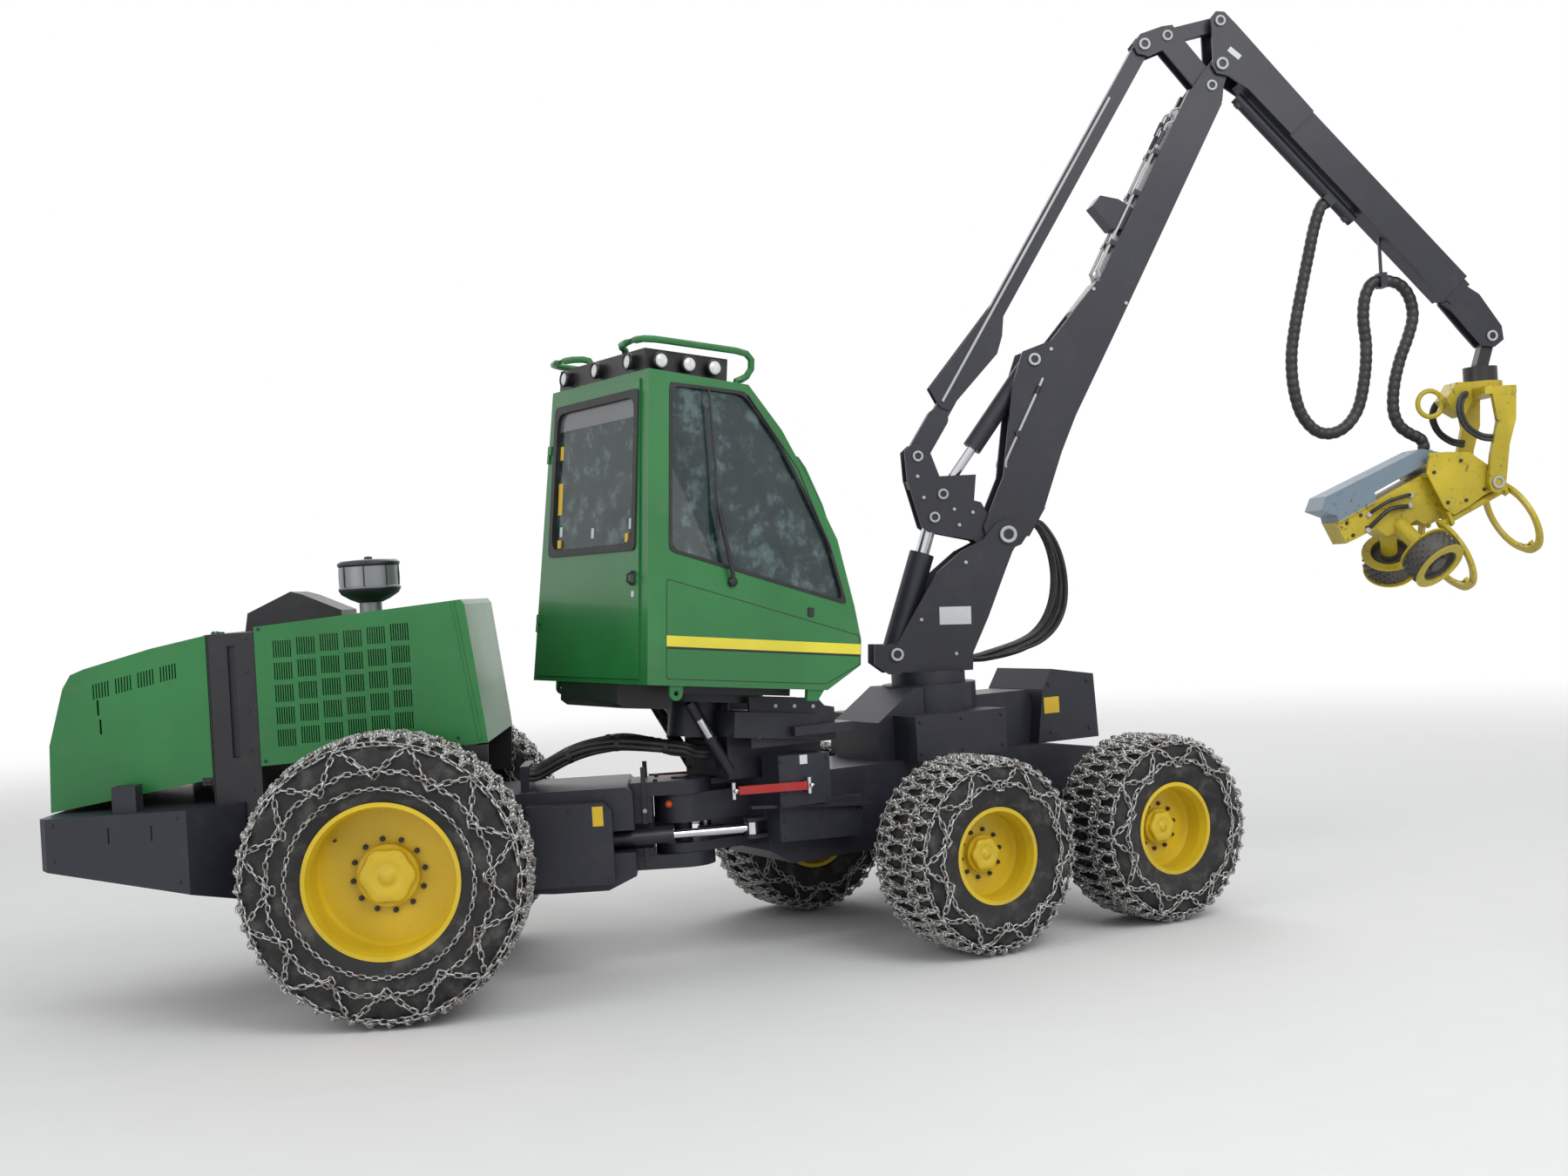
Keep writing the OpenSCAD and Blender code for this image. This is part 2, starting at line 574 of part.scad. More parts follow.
// Steering cylinders between the frames, beside the joint
module steer_along(a, b) translate([a[0], a[1], steer_z]) rotate([0, 90, atan2(b[1] - a[1], b[0] - a[0])]) children();
module steer_barrel(side) color(charcoal) steer_along(steer_back(side), steer_eye(side)) difference() {
    union() {
        translate([0, 0, 40]) cylinder(h = 625, r = steer_r);
        rotate([0, 90, 0]) cylinder(h = 110, r = 55, center = true);
    }
    rotate([0, 90, 0]) cylinder(h = 120, r = link_pin_r, center = true);
    translate([0, 0, 90]) cylinder(h = 625, r = steer_rod_r + run_gap);
}
module steer_rod(side) color(chrome) steer_along(steer_eye(side), steer_back(side)) {
    cylinder(h = 640, r = steer_rod_r);
    rotate([0, 90, 0]) cylinder(h = 76, r = 44, center = true);
}

// Cab, in its own frame: x ahead of the rear face, z above the floor

side_face = [
    [0, 0], [0, cab_h], [cab_len - 850, cab_h - 20], [cab_len - 600, cab_h - 285], [cab_len - 380, cab_h - 614],
    [cab_len - 180, cab_h - 955], [cab_len - 50, cab_h - 1378], [cab_len, 331], [cab_len - 5, 168],
    [cab_len - 265, 0]];
module cab_outer(inset = 0) intersection() {
    side_shape(side_face, 0, 2 * cab_half);
    translate([-10, 0, 0]) rotate([90, 0, 90]) linear_extrude(cab_len + 20) polygon([
        [-cab_half + inset, 0], [cab_half - inset, 0],
        [cab_top_half - inset, cab_h + 1], [-cab_top_half + inset, cab_h + 1]]);
}
inside_face = [
    [cab_wall, cab_wall], [cab_wall, cab_h - cab_wall], [cab_len - 870, cab_h - cab_wall - 20],
    [cab_len - 635, cab_h - 305], [cab_len - 418, cab_h - 634], [cab_len - 222, cab_h - 970],
    [cab_len - 95, cab_h - 1385], [cab_len - cab_wall, 326], [cab_len - cab_wall - 5, 185],
    [cab_len - 280, cab_wall]];
side_window = [
    [150, 820], [150, cab_h - 70], [cab_len - 880, cab_h - 70], [cab_len - 648, cab_h - 330],
    [cab_len - 442, cab_h - 648], [cab_len - 248, cab_h - 980], [cab_len - 120, 560]];
// Windscreen, as [y, z] between the pillars
screen_edge = cab_top_half - 112;
screen_window = [
    [-screen_edge, 420], [40 - screen_edge, cab_h - 100], [screen_edge - 40, cab_h - 100], [screen_edge, 420]];
module cab_space() intersection() {
    side_shape(inside_face, 0, 2 * cab_half);
    translate([-10, 0, 0]) rotate([90, 0, 90]) linear_extrude(cab_len + 20) polygon([
        [-cab_half + cab_wall, 0], [cab_half - cab_wall, 0],
        [cab_top_half - cab_wall, cab_h + 1], [-cab_top_half + cab_wall, cab_h + 1]]);
}
door_side = function (z) cab_half - (cab_half - cab_top_half) * z / cab_h;
// Outline of the door opening in the rear wall, as [y, z]
door_top = cab_h - 50;
door_opening = [
    [-door_side(30) + 95, 30], [door_side(30) - 55, 30], [door_side(door_top) - 55, door_top],
    [-door_side(door_top) + 95, door_top]];
rear_window = [
    [-cab_top_half + 82, 830], [cab_top_half - 82, 830], [cab_top_half - 107, cab_h - 130],
    [-cab_top_half + 107, cab_h - 130]];
// Hinge line of the door, behind its left edge: a knuckle round it at each height z
hinge_back = 17;
hinge_r = 12;
hinge_pin_r = 6;
function hinge_y(z) = door_side(z) - 55 + hinge_r;
hinge_tilt = atan2(cab_half - cab_top_half, cab_h);
hinge_z = [320, 1440];
module hinge_knuckle(z) translate([-hinge_back, hinge_y(z), z]) rotate([hinge_tilt, 0, 0]) children();
module cab_shell() color(green) on_cab() {
    for (z = hinge_z) hinge_knuckle(z) {
        cylinder(h = 60, r = hinge_r);
        translate([0, 0, 60]) cylinder(h = 60, r = hinge_pin_r);
        block([0, -6, 0], [hinge_back + 3, 12, 60]);
    }
    difference() {
        cab_outer();
        cab_space();
        side_shape(side_window, 0, 2 * cab_half + 10);
        // windscreen, between the pillars
        screen_space(screen_window);
        rotate([90, 0, 90]) translate([0, 0, -20]) linear_extrude(20 + cab_wall + 5) polygon(door_opening);
    }
    for (s = [-1, 1]) {
        difference() {
            side_shape(concat([[160, 10], [250, 10]],
                [for (a = [0 : -15 : -180]) [205 + 45 * cos(a), -45 + 45 * sin(a)]]), s * (cab_half - 20), 18);
            cross_pin([205, -45], 16, 30, s * (cab_half - 20));
        }
        side_shape([[1150, -70], [1150, 20], [1290, 20], [1230, -70]], s * (cab_half - 25), 30);
    }
}
// Side panes 18 mm inside the walls' faces, and the screen bent over the sloping front
module cab_glass() color(glass) on_cab() {
    intersection() {
        difference() {
            cab_outer(18);
            cab_outer(18 + glass_t);
        }
        side_shape(inset(side_window, seat_gap), 0, 2 * cab_half);
    }
    intersection() {
        difference() {
            side_shape(inset(side_face, 15), 0, 2 * cab_half);
            side_shape(inset(side_face, 15 + glass_t), 0, 2 * cab_half + 2);
        }
        screen_space(inset(screen_window, seat_gap));
    }
}
// Space in front of the cab's middle behind a [y, z] outline
module screen_space(outline) translate([600, 0, 0]) rotate([90, 0, 90]) linear_extrude(1200) polygon(outline);
module cab_seat() color(black) on_cab() {
    for (s = [-1, 1]) block([420, s * 340 - 70, cab_wall + seat_gap], [800, s * 340 + 70, 660]);
    block([420, -180, cab_wall + seat_gap], [720, 180, 380]);
    block([360, -240, 380], [860, 240, 500]);
    side_shape([[300, 450], [380, 450], [330, 1150], [230, 1150]], 0, 460);
}
module cab_subframe() color(charcoal) on_cab()
    side_shape([[12, -120], [12, -seat_gap], [385, -seat_gap], [385, -150], [60, -150]], 0, 800);

// Lamps stand on black panels round the roof, below the bent tubes of the rack
function roof_z(x) = cab_h - 20 * x / 710;
lamp_r = 44;
lamp_z = 1985;
lamps_side = [103, 300, 483];
lamps_rear = [-444, 0, 444];
lamps_front = [-420, -140, 140, 420];
panel_half = cab_top_half - 82;
panel_top = 2058;
panel_front_x = 600;
module lamp_bar() color(black) on_cab() {
    for (s = [-1, 1]) side_shape([[12, roof_z(12) + seat_gap], [12, panel_top], [panel_front_x, panel_top],
        [panel_front_x, roof_z(panel_front_x) + seat_gap]], s * (panel_half - 15), 30);
    for (x = [12, panel_front_x - 30]) side_shape([[x, roof_z(x) + seat_gap], [x, panel_top], [x + 30, panel_top],
        [x + 30, roof_z(x + 30) + seat_gap]], 0, 2 * panel_half);
    for (x = lamps_side, s = [-1, 1]) translate([x, s * (panel_half + 20), lamp_z]) rotate([90, 0, 0])
        cylinder(h = 50, r = lamp_r, center = true);
    for (y = lamps_rear) translate([-28, y, lamp_z]) rotate([0, 90, 0]) cylinder(h = 50, r = lamp_r);
    for (y = lamps_front) translate([panel_front_x - 10, y, lamp_z]) rotate([0, 90, 0]) cylinder(h = 50, r = lamp_r);
}
// Point at a height square above the roof, so that a tube's end stands flat on it
roof_slope = atan2(20, 710);
function on_roof(x, y, h) = [x + h * sin(roof_slope), y, roof_z(x) + h * cos(roof_slope)];
rack_path = [on_roof(70, 235, seat_gap), on_roof(70, 235, 80), [68, 238, 2060], [52, 250, 2090], [20, 275, 2100],
    [-20, 340, 2102], [-35, 430, 2103], [-36, 560, 2104], [-22, 632, 2104], [40, 664, 2104], [120, 668, 2104],
    [400, 660, 2106], [620, 652, 2108], [700, 646, 2100], [745, 638, 2066], [752, 628, 2010], [730, 612, 1962],
    [700, 597, 1940], on_roof(672, 585, 28), on_roof(672, 585, seat_gap)];
// Guard tubes stand square on the pillars of the screen, from the first to the last of their [x, z] points
guard_half = cab_top_half - 72;
guard_path = [[1070.3, 1470.7], [1095, 1487], [1135, 1480], [1190, 1420], [1330, 1190], [1420, 980], [1500, 760],
    [1565, 540], [1600, 380], [1610, 300], [1605, 262], [1587.5, 239.1], [1557.5, 240]];
module cab_rails() color(green) on_cab() for (s = [-1, 1]) {
    swept_tube([for (p = rack_path) [p[0], s * p[1], p[2]]], 23, 8);
    swept_tube([for (p = guard_path) [p[0], s * guard_half, p[1]]], 17, 8);
}
module cab_door() color(green) on_cab() difference() {
    union() {
        rotate([90, 0, 90]) translate([0, 0, -12]) linear_extrude(12 + cab_wall - 8) polygon([
            for (p = door_opening) [p[0] + (p[0] < 0 ? 3 : -3), p[1] + (p[1] < 900 ? 3 : -3)]]);
        for (z = hinge_z) hinge_knuckle(z + 60) difference() {
            union() {
                translate([0, 0, 1]) cylinder(h = 56, r = hinge_r);
                block([-10, -40, 1], [9, 0, 57]);
            }
            cylinder(h = 60, r = hinge_pin_r + run_gap);
        }
    }
    rotate([90, 0, 90]) translate([0, 0, -30]) linear_extrude(100) polygon(rear_window);
}
module door_glass() color(glass) on_cab()
    rotate([90, 0, 90]) translate([0, 0, 4]) linear_extrude(glass_t) polygon(rear_window);

// Crane

module crane_column() color(charcoal) on_crane() {
    translate([0, 0, turret_z + seat_gap]) cylinder(h = 90, r = 260);
    side_pair([[-305, 1745], [-401, 1822], [-393, 1955], [-238, 1946], [-133, 2113], [77, 2436], [264, 2580],
        [420, 2650], [520, 2760], [600, 2785], [680, 2760], [710, 2675], [625, 2552], [554, 2395], [427, 2106],
        [302, 1858], [295, 1740]], column_face, plate_t);
    side_shape([[-110, 1745], [-95, 1900], [130, 2400], [300, 2450], [560, 2410], [427, 2106], [302, 1858],
        [295, 1740]], 0, 2 * column_face);
    cross_pin(p_foot, foot_pin_r, 2 * (column_face + plate_t) + 24);
    cross_pin(p_lift_low, link_pin_r - run_gap, 2 * (column_face + plate_t) + 16);
    pin_boss(p_foot, 62, column_face + plate_t, 8);
}

module column_hoses() color(black) on_crane() for (y = [-60, 0, 60]) translate([0, y, 0])
    swept_tube([[831.8, 0, 2752.3], [861.1, 0, 2733.2], [897, 0, 2680], [938, 0, 2590], [968, 0, 2480],
        [985, 0, 2350], [980, 0, 2220], [950, 0, 2110], [890, 0, 2010], [800, 0, 1930], [690, 0, 1880], [570, 0, 1848],
        [450, 0, 1825], [380, 0, 1815], [302.3, 0, 1815]], 26, 8);

// Barrel and rod of a cylinder between two pins: the rod's inner end stays deep inside the barrel
module barrel(foot, eye, r, bore_r, length, foot_r, foot_w, bore_from) difference() {
    dir = (eye - foot) / norm(eye - foot);
    union() {
        side_tube(foot, foot + dir * length, r);
        cross_pin(foot, foot_r, foot_w);
    }
    cross_pin(foot, link_pin_r, 400);
    side_tube(foot + dir * bore_from, foot + dir * (length + 50), bore_r);
}
module rod(eye, foot, r, length, eye_r, eye_w) {
    dir = (foot - eye) / norm(foot - eye);
    side_tube(eye + dir * length, eye, r);
    cross_pin(eye, eye_r, eye_w);
}

module lift_barrel() color(charcoal) on_crane()
    barrel(p_lift_low, p_lift_rod, lift_barrel_r, lift_rod_r + run_gap, 740, 80, 2 * column_face - 8, 130);
module lift_rod() color(chrome) on_crane()
    rod(p_lift_rod, p_lift_low, lift_rod_r, 690, 70, 2 * rocker_face - 8);

module rocker() color(charcoal) on_crane() difference() {
    union() {
        side_pair([[-92, 3300], [-85, 3100], [0, 2760], [40, 2730], [365, 2650], [420, 2600], [540, 2570],
            [600, 2562], [690, 2610], [700, 2720], [600, 2790], [477, 2830], [434, 2914], [385, 2929], [409, 3111],
            [147, 3112], [85, 3300], [40, 3345], [-40, 3345]], rocker_face, plate_t);
        side_shape([[200, 2700], [400, 2655], [450, 2700], [230, 2760]], 0, 2 * rocker_face);
        side_shape([[-78, 3090], [-60, 3030], [40, 3030], [40, 3090]], 0, 2 * rocker_face);
        cross_pin(p_bar_low, link_pin_r - run_gap, 2 * (rocker_face + plate_t) + 8);
        for (p = [p_lift_rod, p_knuckle_rod]) pin_boss(p, 48, rocker_face + plate_t, 4);
    }
    cross_pin(p_foot, foot_pin_r + run_gap, 400);
}

ear_t = 20;
lever_slot = [[2060, 5640], [2240, 5600], [2380, 5600], [2480, 5700], [2500, 6000], [2400, 6100], [2060, 5860]];
module main_boom() color(charcoal) on_crane() {
    cross_pin(p_knuckle_top, link_pin_r - run_gap, 2 * (boom_face + plate_t) + 16);
    cross_pin(p_lever, link_pin_r - run_gap, 2 * (ear_face + ear_t) + 6);
    difference() {
        boom_plates();
        cross_pin(p_foot, foot_pin_r + run_gap, 400);
        side_shape(lever_slot, 0, 2 * ear_face);
        cross_pin(p_stick, link_pin_r + run_gap, 400);
    }
}
module boom_plates() {
    side_pair([[455, 2640], [520, 2575], [600, 2565], [700, 2600], [880, 2842], [1032, 3240], [1150, 3494],
        [1479, 4082], [1600, 4310], [1360, 4440], [1000, 4030], [790, 3960], [700, 3720], [600, 3089],
        [437, 2742]], boom_face, plate_t);
    side_shape([[745, 2665], [768, 2655], [895, 2850], [872, 2862]], 0, 2 * boom_face);
    side_shape([[1020, 3300], [1150, 3494], [1479, 4082], [1600, 4310], [1360, 4440], [1180, 4240],
        [1150, 4000], [1010, 3600]], 0, 2 * boom_face);
    side_shape([[1479, 4082], [2356, 5674], [2120, 5780], [1240, 4200]], 0, 2 * (boom_face + plate_t));
    side_shape([[1370, 4980], [1430, 5050], [1560, 5020], [1680, 4940], [1640, 4800], [1500, 4810]], 0, 170);
    side_pair([[2300, 5560], [2370, 5700], [2385, 5800], [2430, 5920], [2430, 5985], [2373, 6024], [2320, 6000],
        [2230, 5900], [2080, 5700], [2150, 5560]], ear_face, ear_t);
}

module knuckle_barrel() color(charcoal) on_crane()
    barrel(p_knuckle_top, p_knuckle_rod, knuckle_barrel_r, knuckle_rod_r + run_gap, 755, 62, 2 * boom_face - 8, 100);
module knuckle_rod() color(chrome) on_crane()
    rod(p_knuckle_rod, p_knuckle_top, knuckle_rod_r, 770, 56, 2 * rocker_face - 8);

bar_bend = [170, 3520];
module rear_bar() color(charcoal) on_crane() difference() {
    union() {
        side_bar(p_bar_low, bar_bend, 150, 0, 2 * eye_half);
        side_bar(bar_bend, p_bar_top, bar_w, 0, 2 * eye_half);
        cross_pin(p_bar_low, 70, 2 * rocker_face - 4);
        side_pair([[120, 3740], [620, 4330], [690, 4290], [665, 4085], [622, 3960], [249, 3575], [190, 3600]],
            eye_half, 14);
    }
    cross_pin(p_bar_low, link_pin_r, 300);
}
lever_t = 20;
module link_lever() color(charcoal) on_crane() difference() {
    union() {
        side_pair([[1740, 6130], [1770, 6060], [1850, 6040], [1960, 6080], [2230, 5740], [2310, 5735], [2370, 5790],
            [2340, 5870], [2080, 6200], [2040, 6260], [1960, 6250], [1800, 6200]], lever_face, lever_t);
        cross_pin(p_link_low, link_pin_r, 2 * (lever_face + lever_t) + 6);
        pin_boss(p_bar_top, 45, lever_face + lever_t, 4);
    }
    cross_pin(p_lever, link_pin_r, 300);
}
module stick_link() color(charcoal) on_crane() difference() {
    union() {
        side_bar(p_link_low, p_link_top, 100, 0, 2 * eye_half);
        cross_pin(p_link_top, 50, 2 * boom_face - 8);
    }
    cross_pin(p_link_low, link_pin_r + run_gap, 300);
}

// Clamp under the stick that holds its hanging hoses
hose_clamp = [3530, 4370];
stick_half = [97, 122];
stick_face = 95;
stick_plate = 20;
stick_wall = 18;
stick_len = norm(stick_to - stick_from);
stick_angle = atan2(stick_to[1] - stick_from[1], stick_to[0] - stick_from[0]);
module along_stick() translate([stick_from[0], 0, stick_from[1]]) rotate([0, -stick_angle, 0]) children();
module stick_boom() color(charcoal) on_crane() {
    along_stick() difference() {
        block([0, -stick_half[0], -stick_half[1]], [stick_len, stick_half[0], stick_half[1]]);
        block([60, -stick_half[0] + stick_wall, -stick_half[1] + stick_wall],
            [stick_len + 1, stick_half[0] - stick_wall, stick_half[1] - stick_wall]);
    }
    side_pair([[2350, 6335], [2310, 6290], [2310, 6000], [2295, 5950], [2330, 5890], [2420, 5870], [2560, 5770],
        [2860, 5440], [3040, 5600], [2500, 6235], [2413, 6330]], stick_face, stick_plate);
    cross_pin(p_stick, link_pin_r, 2 * (stick_face + stick_plate) + 16);
    pin_boss(p_link_top, 40, stick_face + stick_plate, 6);
    side_shape([[2480, 6200], [2560, 6100], [2730, 5880], [2770, 5905], [2500, 6222]], 0, 2 * stick_face + 20);
    along_stick() side_tube([60, -stick_half[1] - 58], [1300, -stick_half[1] - 58], 45);
    along_stick() for (x = [90, 1230]) block([x, -30, -stick_half[1] - 100], [x + 40, 30, -stick_half[1] + 2]);
    along_stick() block([1020, -50, -stick_half[1] - 118], [1110, 50, -stick_half[1] - 60]);
    block([hose_clamp[0] - 25, -50, hose_clamp[1] - 48], [hose_clamp[0] + 25, 50, hose_clamp[1] + 60]);
    block([hose_clamp[0] - 8, -12, hose_clamp[1] + 50], [hose_clamp[0] + 8, 12, hose_clamp[1] + 332]);
}
module extension() color(charcoal) on_crane() {
    gap = stick_wall + run_gap;
    along_stick() block([stick_len - ext_inside, -stick_half[0] + gap, -stick_half[1] + gap],
        [stick_len + 60, stick_half[0] - gap, stick_half[1] - gap]);
    difference() {
        side_pair([[4060, 4360], [4240, 4240], [4400, 4000], [4410, 3900], [4340, 3850], [4250, 3860], [4140, 3990],
            [3980, 4190]], lever_face, 26);
        cross_pin(p_tip, link_pin_r, 300);
    }
    side_shape([[4060, 4360], [4200, 4260], [4250, 4130], [4140, 4060], [3990, 4190]], 0, 2 * lever_face);
}
module hanger() color(black) on_crane() {
    cross_pin(p_tip, link_pin_r - run_gap, 2 * (lever_face + 26) + 10);
    side_bar(p_tip, [p_rotator[0], 3720], 90, 0, 2 * eye_half);
    translate([p_rotator[0], 0, 3600]) cylinder(h = 110, r = 120);
}
stick_hose_start = [1065, -stick_half[1] - 118.3];
function off_stick(x, z) = [stick_from[0] + x * cos(stick_angle) - z * sin(stick_angle), 0,
    stick_from[1] + x * sin(stick_angle) + z * cos(stick_angle)];
module stick_hoses() color(black) on_crane() {
    swept_tube(concat([off_stick(1065, stick_hose_start[1]), off_stick(1065, stick_hose_start[1] - 50)], [
        [3040, 0, 4780], [2990, 0, 4600], [2920, 0, 4340], [2855, 0, 4080], [2815, 0, 3860], [2815, 0, 3640],
        [2860, 0, 3440], [2960, 0, 3310], [3080, 0, 3280], [3200, 0, 3330], [3300, 0, 3460], [3360, 0, 3680],
        [3385, 0, 3900], [3375, 0, 4100], [3395, 0, 4250], [3440, 0, 4345], [3480, 0, 4370],
        [hose_clamp[0] - 25.3, 0, hose_clamp[1]]]), 44, 8);
    swept_tube([[hose_clamp[0] + 25.3, 0, hose_clamp[1]], [3590, 0, 4370], [3670, 0, 4340], [3735, 0, 4250],
        [3755, 0, 4110], [3710, 0, 3960], [3640, 0, 3800], [3585, 0, 3620], [3565, 0, 3440], [3600, 0, 3320],
        [3680, 0, 3250], [3750, 0, 3215], [3780, 0, 3170.3], [3780, 0, 3120.3]], 44, 8);
}

// Harvesting head; below tilt_frame its pieces are in the head's own frame

arm_face = 240;
arm_t = 40;
knife_pin = [165, -85];
knife_ring = [60, -330];
knife_r = [240, 290];
knife_pin_r = 28;
knife_x = [[-490, -462], [85, 113]];
knife_step = 34;
lug_x = [[-420, -395], [50, 75]];
roller_place = [-725, 330, -230];
roller_lean = 40;
module tilt_frame() color(yellow) on_crane() {
    translate([p_rotator[0], 0, 3540]) cylinder(h = 60 - seat_gap, r = 150);
    block([4130, -arm_face - arm_t, 3490], [4370, arm_face + arm_t, 3545]);
    difference() {
        side_pair([[4180, 3540], [4370, 3540], [4355, 3300], [4295, 3120], [4255, 2860], [4235, 2795], [4190, 2775],
            [4140, 2790], [4120, 2850], [4150, 3050], [4215, 3290]], arm_face, arm_t);
        cross_pin(p_tilt, link_pin_r + run_gap, 700);
    }
    side_shape([[4014, 3600], [4140, 3600], [4160, 3500], [4060, 3350], [3985, 3395], [3930, 3480]], 0, 180);
    translate([3850, 0, 3460]) rotate([90, 0, 0]) rotate_extrude() translate([95, 0]) circle(18);
}
module head_frame() color(yellow) {
    on_head() {
        difference() {
            union() {
                side_shape([[-1150, 120], [-1150, 290], [-60, 290], [60, 60], [60, -40], [-560, -40], [-600, 20],
                    [-850, 20], [-900, 110]], 0, 240);
                side_pair([[-420, 300], [-334, 420], [-207, 361], [-61, 283], [60, 60], [60, -40], [-100, -40],
                    [-250, -60], [-380, -60], [-420, 20]], 205, 20);
                side_shape([[-420, 270], [-420, 300], [-61, 283], [-75, 250]], 0, 440);
                for (x = lug_x) translate([x[0], 0, 0]) rotate([90, 0, 90]) linear_extrude(x[1] - x[0])
                    polygon([[-225, -30], [-215, -115], [-175, -135], [-60, -45], [60, -45], [175, -135],
                        [215, -115], [225, -30], [120, 30], [-120, 30]]);
                cross_pin([0, 0], 45, 2 * arm_face - 10);
                cross_pin([0, 0], link_pin_r, 2 * (arm_face + arm_t) + 14);
            }
            for (s = [-1, 1]) translate([-600, s * knife_pin[0], knife_pin[1]]) rotate([0, 90, 0])
                cylinder(h = 900, r = knife_pin_r + run_gap);
        }
        for (s = [-1, 1]) translate([roller_place[0], s * roller_place[1], roller_place[2]])
            rotate([s * roller_lean, 0, 0]) translate([0, 0, roller_w / 2 + seat_gap]) cylinder(h = 270, r = 60);
        side_shape([[-1216, 427], [-1136, 495], [-333, 460], [-209, 361], [-322, 350], [-800, 350], [-820, 285],
            [-1140, 285], [-1128, 330]], 0, 300);
    }
    on_crane() translate([3780, 0, 3060]) cylinder(h = 60, r = 62);
}
module knife(side) color(yellow) on_head() {
    shift = side > 0 ? knife_step : 0;
    translate([knife_x[0][0] + shift, side * knife_pin[0], knife_pin[1]]) rotate([0, 90, 0])
        cylinder(h = knife_x[1][1] - knife_x[0][0], r = knife_pin_r);
    for (x = knife_x)
        translate([x[0] + shift, side * knife_ring[0], knife_ring[1]]) rotate([90, 0, 90])
            linear_extrude(x[1] - x[0]) difference() {
                circle(knife_r[1]);
                circle(knife_r[0]);
                translate([side > 0 ? -400 : knife_ring[0] - 137 - 1, 0]) square([side > 0 ? 477 : 478, 400]);
                translate([side > 0 ? -520 : 120, -400]) square([400, 400]);
            }
}
module roller(side) color(black) on_head()
    translate([roller_place[0], side * roller_place[1], roller_place[2]]) rotate([side * roller_lean, 0, 0])
        cylinder(h = roller_w, r = roller_r, center = true);

rear_chassis();
rear_axle();
engine_block();
engine_cover();
cooler_pillar();
bumper_box();
air_cleaner();
rear_hood();
rear_tyre(-1);  // rear_tyre_right
rear_rim(-1);  // rear_rim_right
rear_tyre(1);  // rear_tyre_left
rear_rim(1);  // rear_rim_left
front_chassis();
crane_base();
side_lockers();
cab_carrier();
joint_hoses();
bogie(-1);  // bogie_right
bogie(1);  // bogie_left
front_tyre(-1, 0);  // tyre_right_1
front_rim(-1, 0);  // rim_right_1
front_tyre(-1, 1);  // tyre_right_2
front_rim(-1, 1);  // rim_right_2
front_tyre(1, 0);  // tyre_left_1
front_rim(1, 0);  // rim_left_1
front_tyre(1, 1);  // tyre_left_2
front_rim(1, 1);  // rim_left_2
steer_barrel(-1);  // steer_barrel_right
steer_rod(-1);  // steer_rod_right
steer_barrel(1);  // steer_barrel_left
steer_rod(1);  // steer_rod_left
cab_shell();
cab_glass();
cab_seat();
cab_subframe();
lamp_bar();
cab_rails();
cab_door();
door_glass();
crane_column();
column_hoses();
lift_barrel();
lift_rod();
rocker();
main_boom();
knuckle_barrel();
knuckle_rod();
rear_bar();
link_lever();
stick_link();
stick_boom();
stick_hoses();
extension();
hanger();
tilt_frame();
head_frame();
knife(-1);  // knife_right
knife(1);  // knife_left
roller(-1);  // roller_right
roller(1);  // roller_left
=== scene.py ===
# %% [markdown]
# A forestry harvester, dressed for its picture.
# The solids of the machine come from the CAD model as a fixed frame, in metres, with X forwards along the
# rear frame, Y to the left and Z up. Here they get their paint, and the net chains, seals, lamps, hoses,
# bolts and pipes that the solids leave out. Every new mesh is worked out with numpy as whole arrays.

# %% Load the frame
import math

import bpy
import numpy as np
from mathutils import Matrix


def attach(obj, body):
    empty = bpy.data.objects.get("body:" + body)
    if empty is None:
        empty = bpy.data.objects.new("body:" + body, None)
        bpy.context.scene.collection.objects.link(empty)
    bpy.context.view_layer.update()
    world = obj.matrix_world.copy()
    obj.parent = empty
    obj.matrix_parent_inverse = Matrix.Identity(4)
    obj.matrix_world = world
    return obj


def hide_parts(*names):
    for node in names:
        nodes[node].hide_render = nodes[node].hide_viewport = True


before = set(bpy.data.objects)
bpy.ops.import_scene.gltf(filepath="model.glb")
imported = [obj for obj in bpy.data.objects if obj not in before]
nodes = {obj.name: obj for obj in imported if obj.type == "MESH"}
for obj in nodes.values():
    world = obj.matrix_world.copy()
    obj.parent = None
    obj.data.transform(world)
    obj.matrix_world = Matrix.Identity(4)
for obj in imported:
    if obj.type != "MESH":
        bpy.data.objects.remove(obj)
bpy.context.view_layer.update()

# %% [markdown]
# The machine stands bent at its joint, with its cab and crane swung, so most of its parts lie at an angle.
# A Place turns points given in a part's own frame into the machine's frame. The four places are the front
# frame, the levelled cab, the crane's upright plane and the felling head that hangs from it.

# %% Places of the turned parts
def turn_z(deg):
    """Rows are the turned x, y and z axes for a turn about Z."""
    c, s = math.cos(math.radians(deg)), math.sin(math.radians(deg))
    return np.array([[c, s, 0], [-s, c, 0], [0, 0, 1.0]])


def turn_y(deg):
    """Rows are the turned axes for a turn about Y that tips x down."""
    c, s = math.cos(math.radians(deg)), math.sin(math.radians(deg))
    return np.array([[c, 0, -s], [0, 1.0, 0], [s, 0, c]])


class Place:
    def __init__(self, origin=(0, 0, 0), axes=np.eye(3)):
        self.origin, self.axes = np.array(origin, float), np.array(axes, float)

    def __call__(self, points):
        return self.origin + np.asarray(points, float) @ self.axes

    def inner(self, origin=(0, 0, 0), axes=np.eye(3)):
        """A place given inside this one."""
        return Place(self(origin), np.array(axes) @ self.axes)


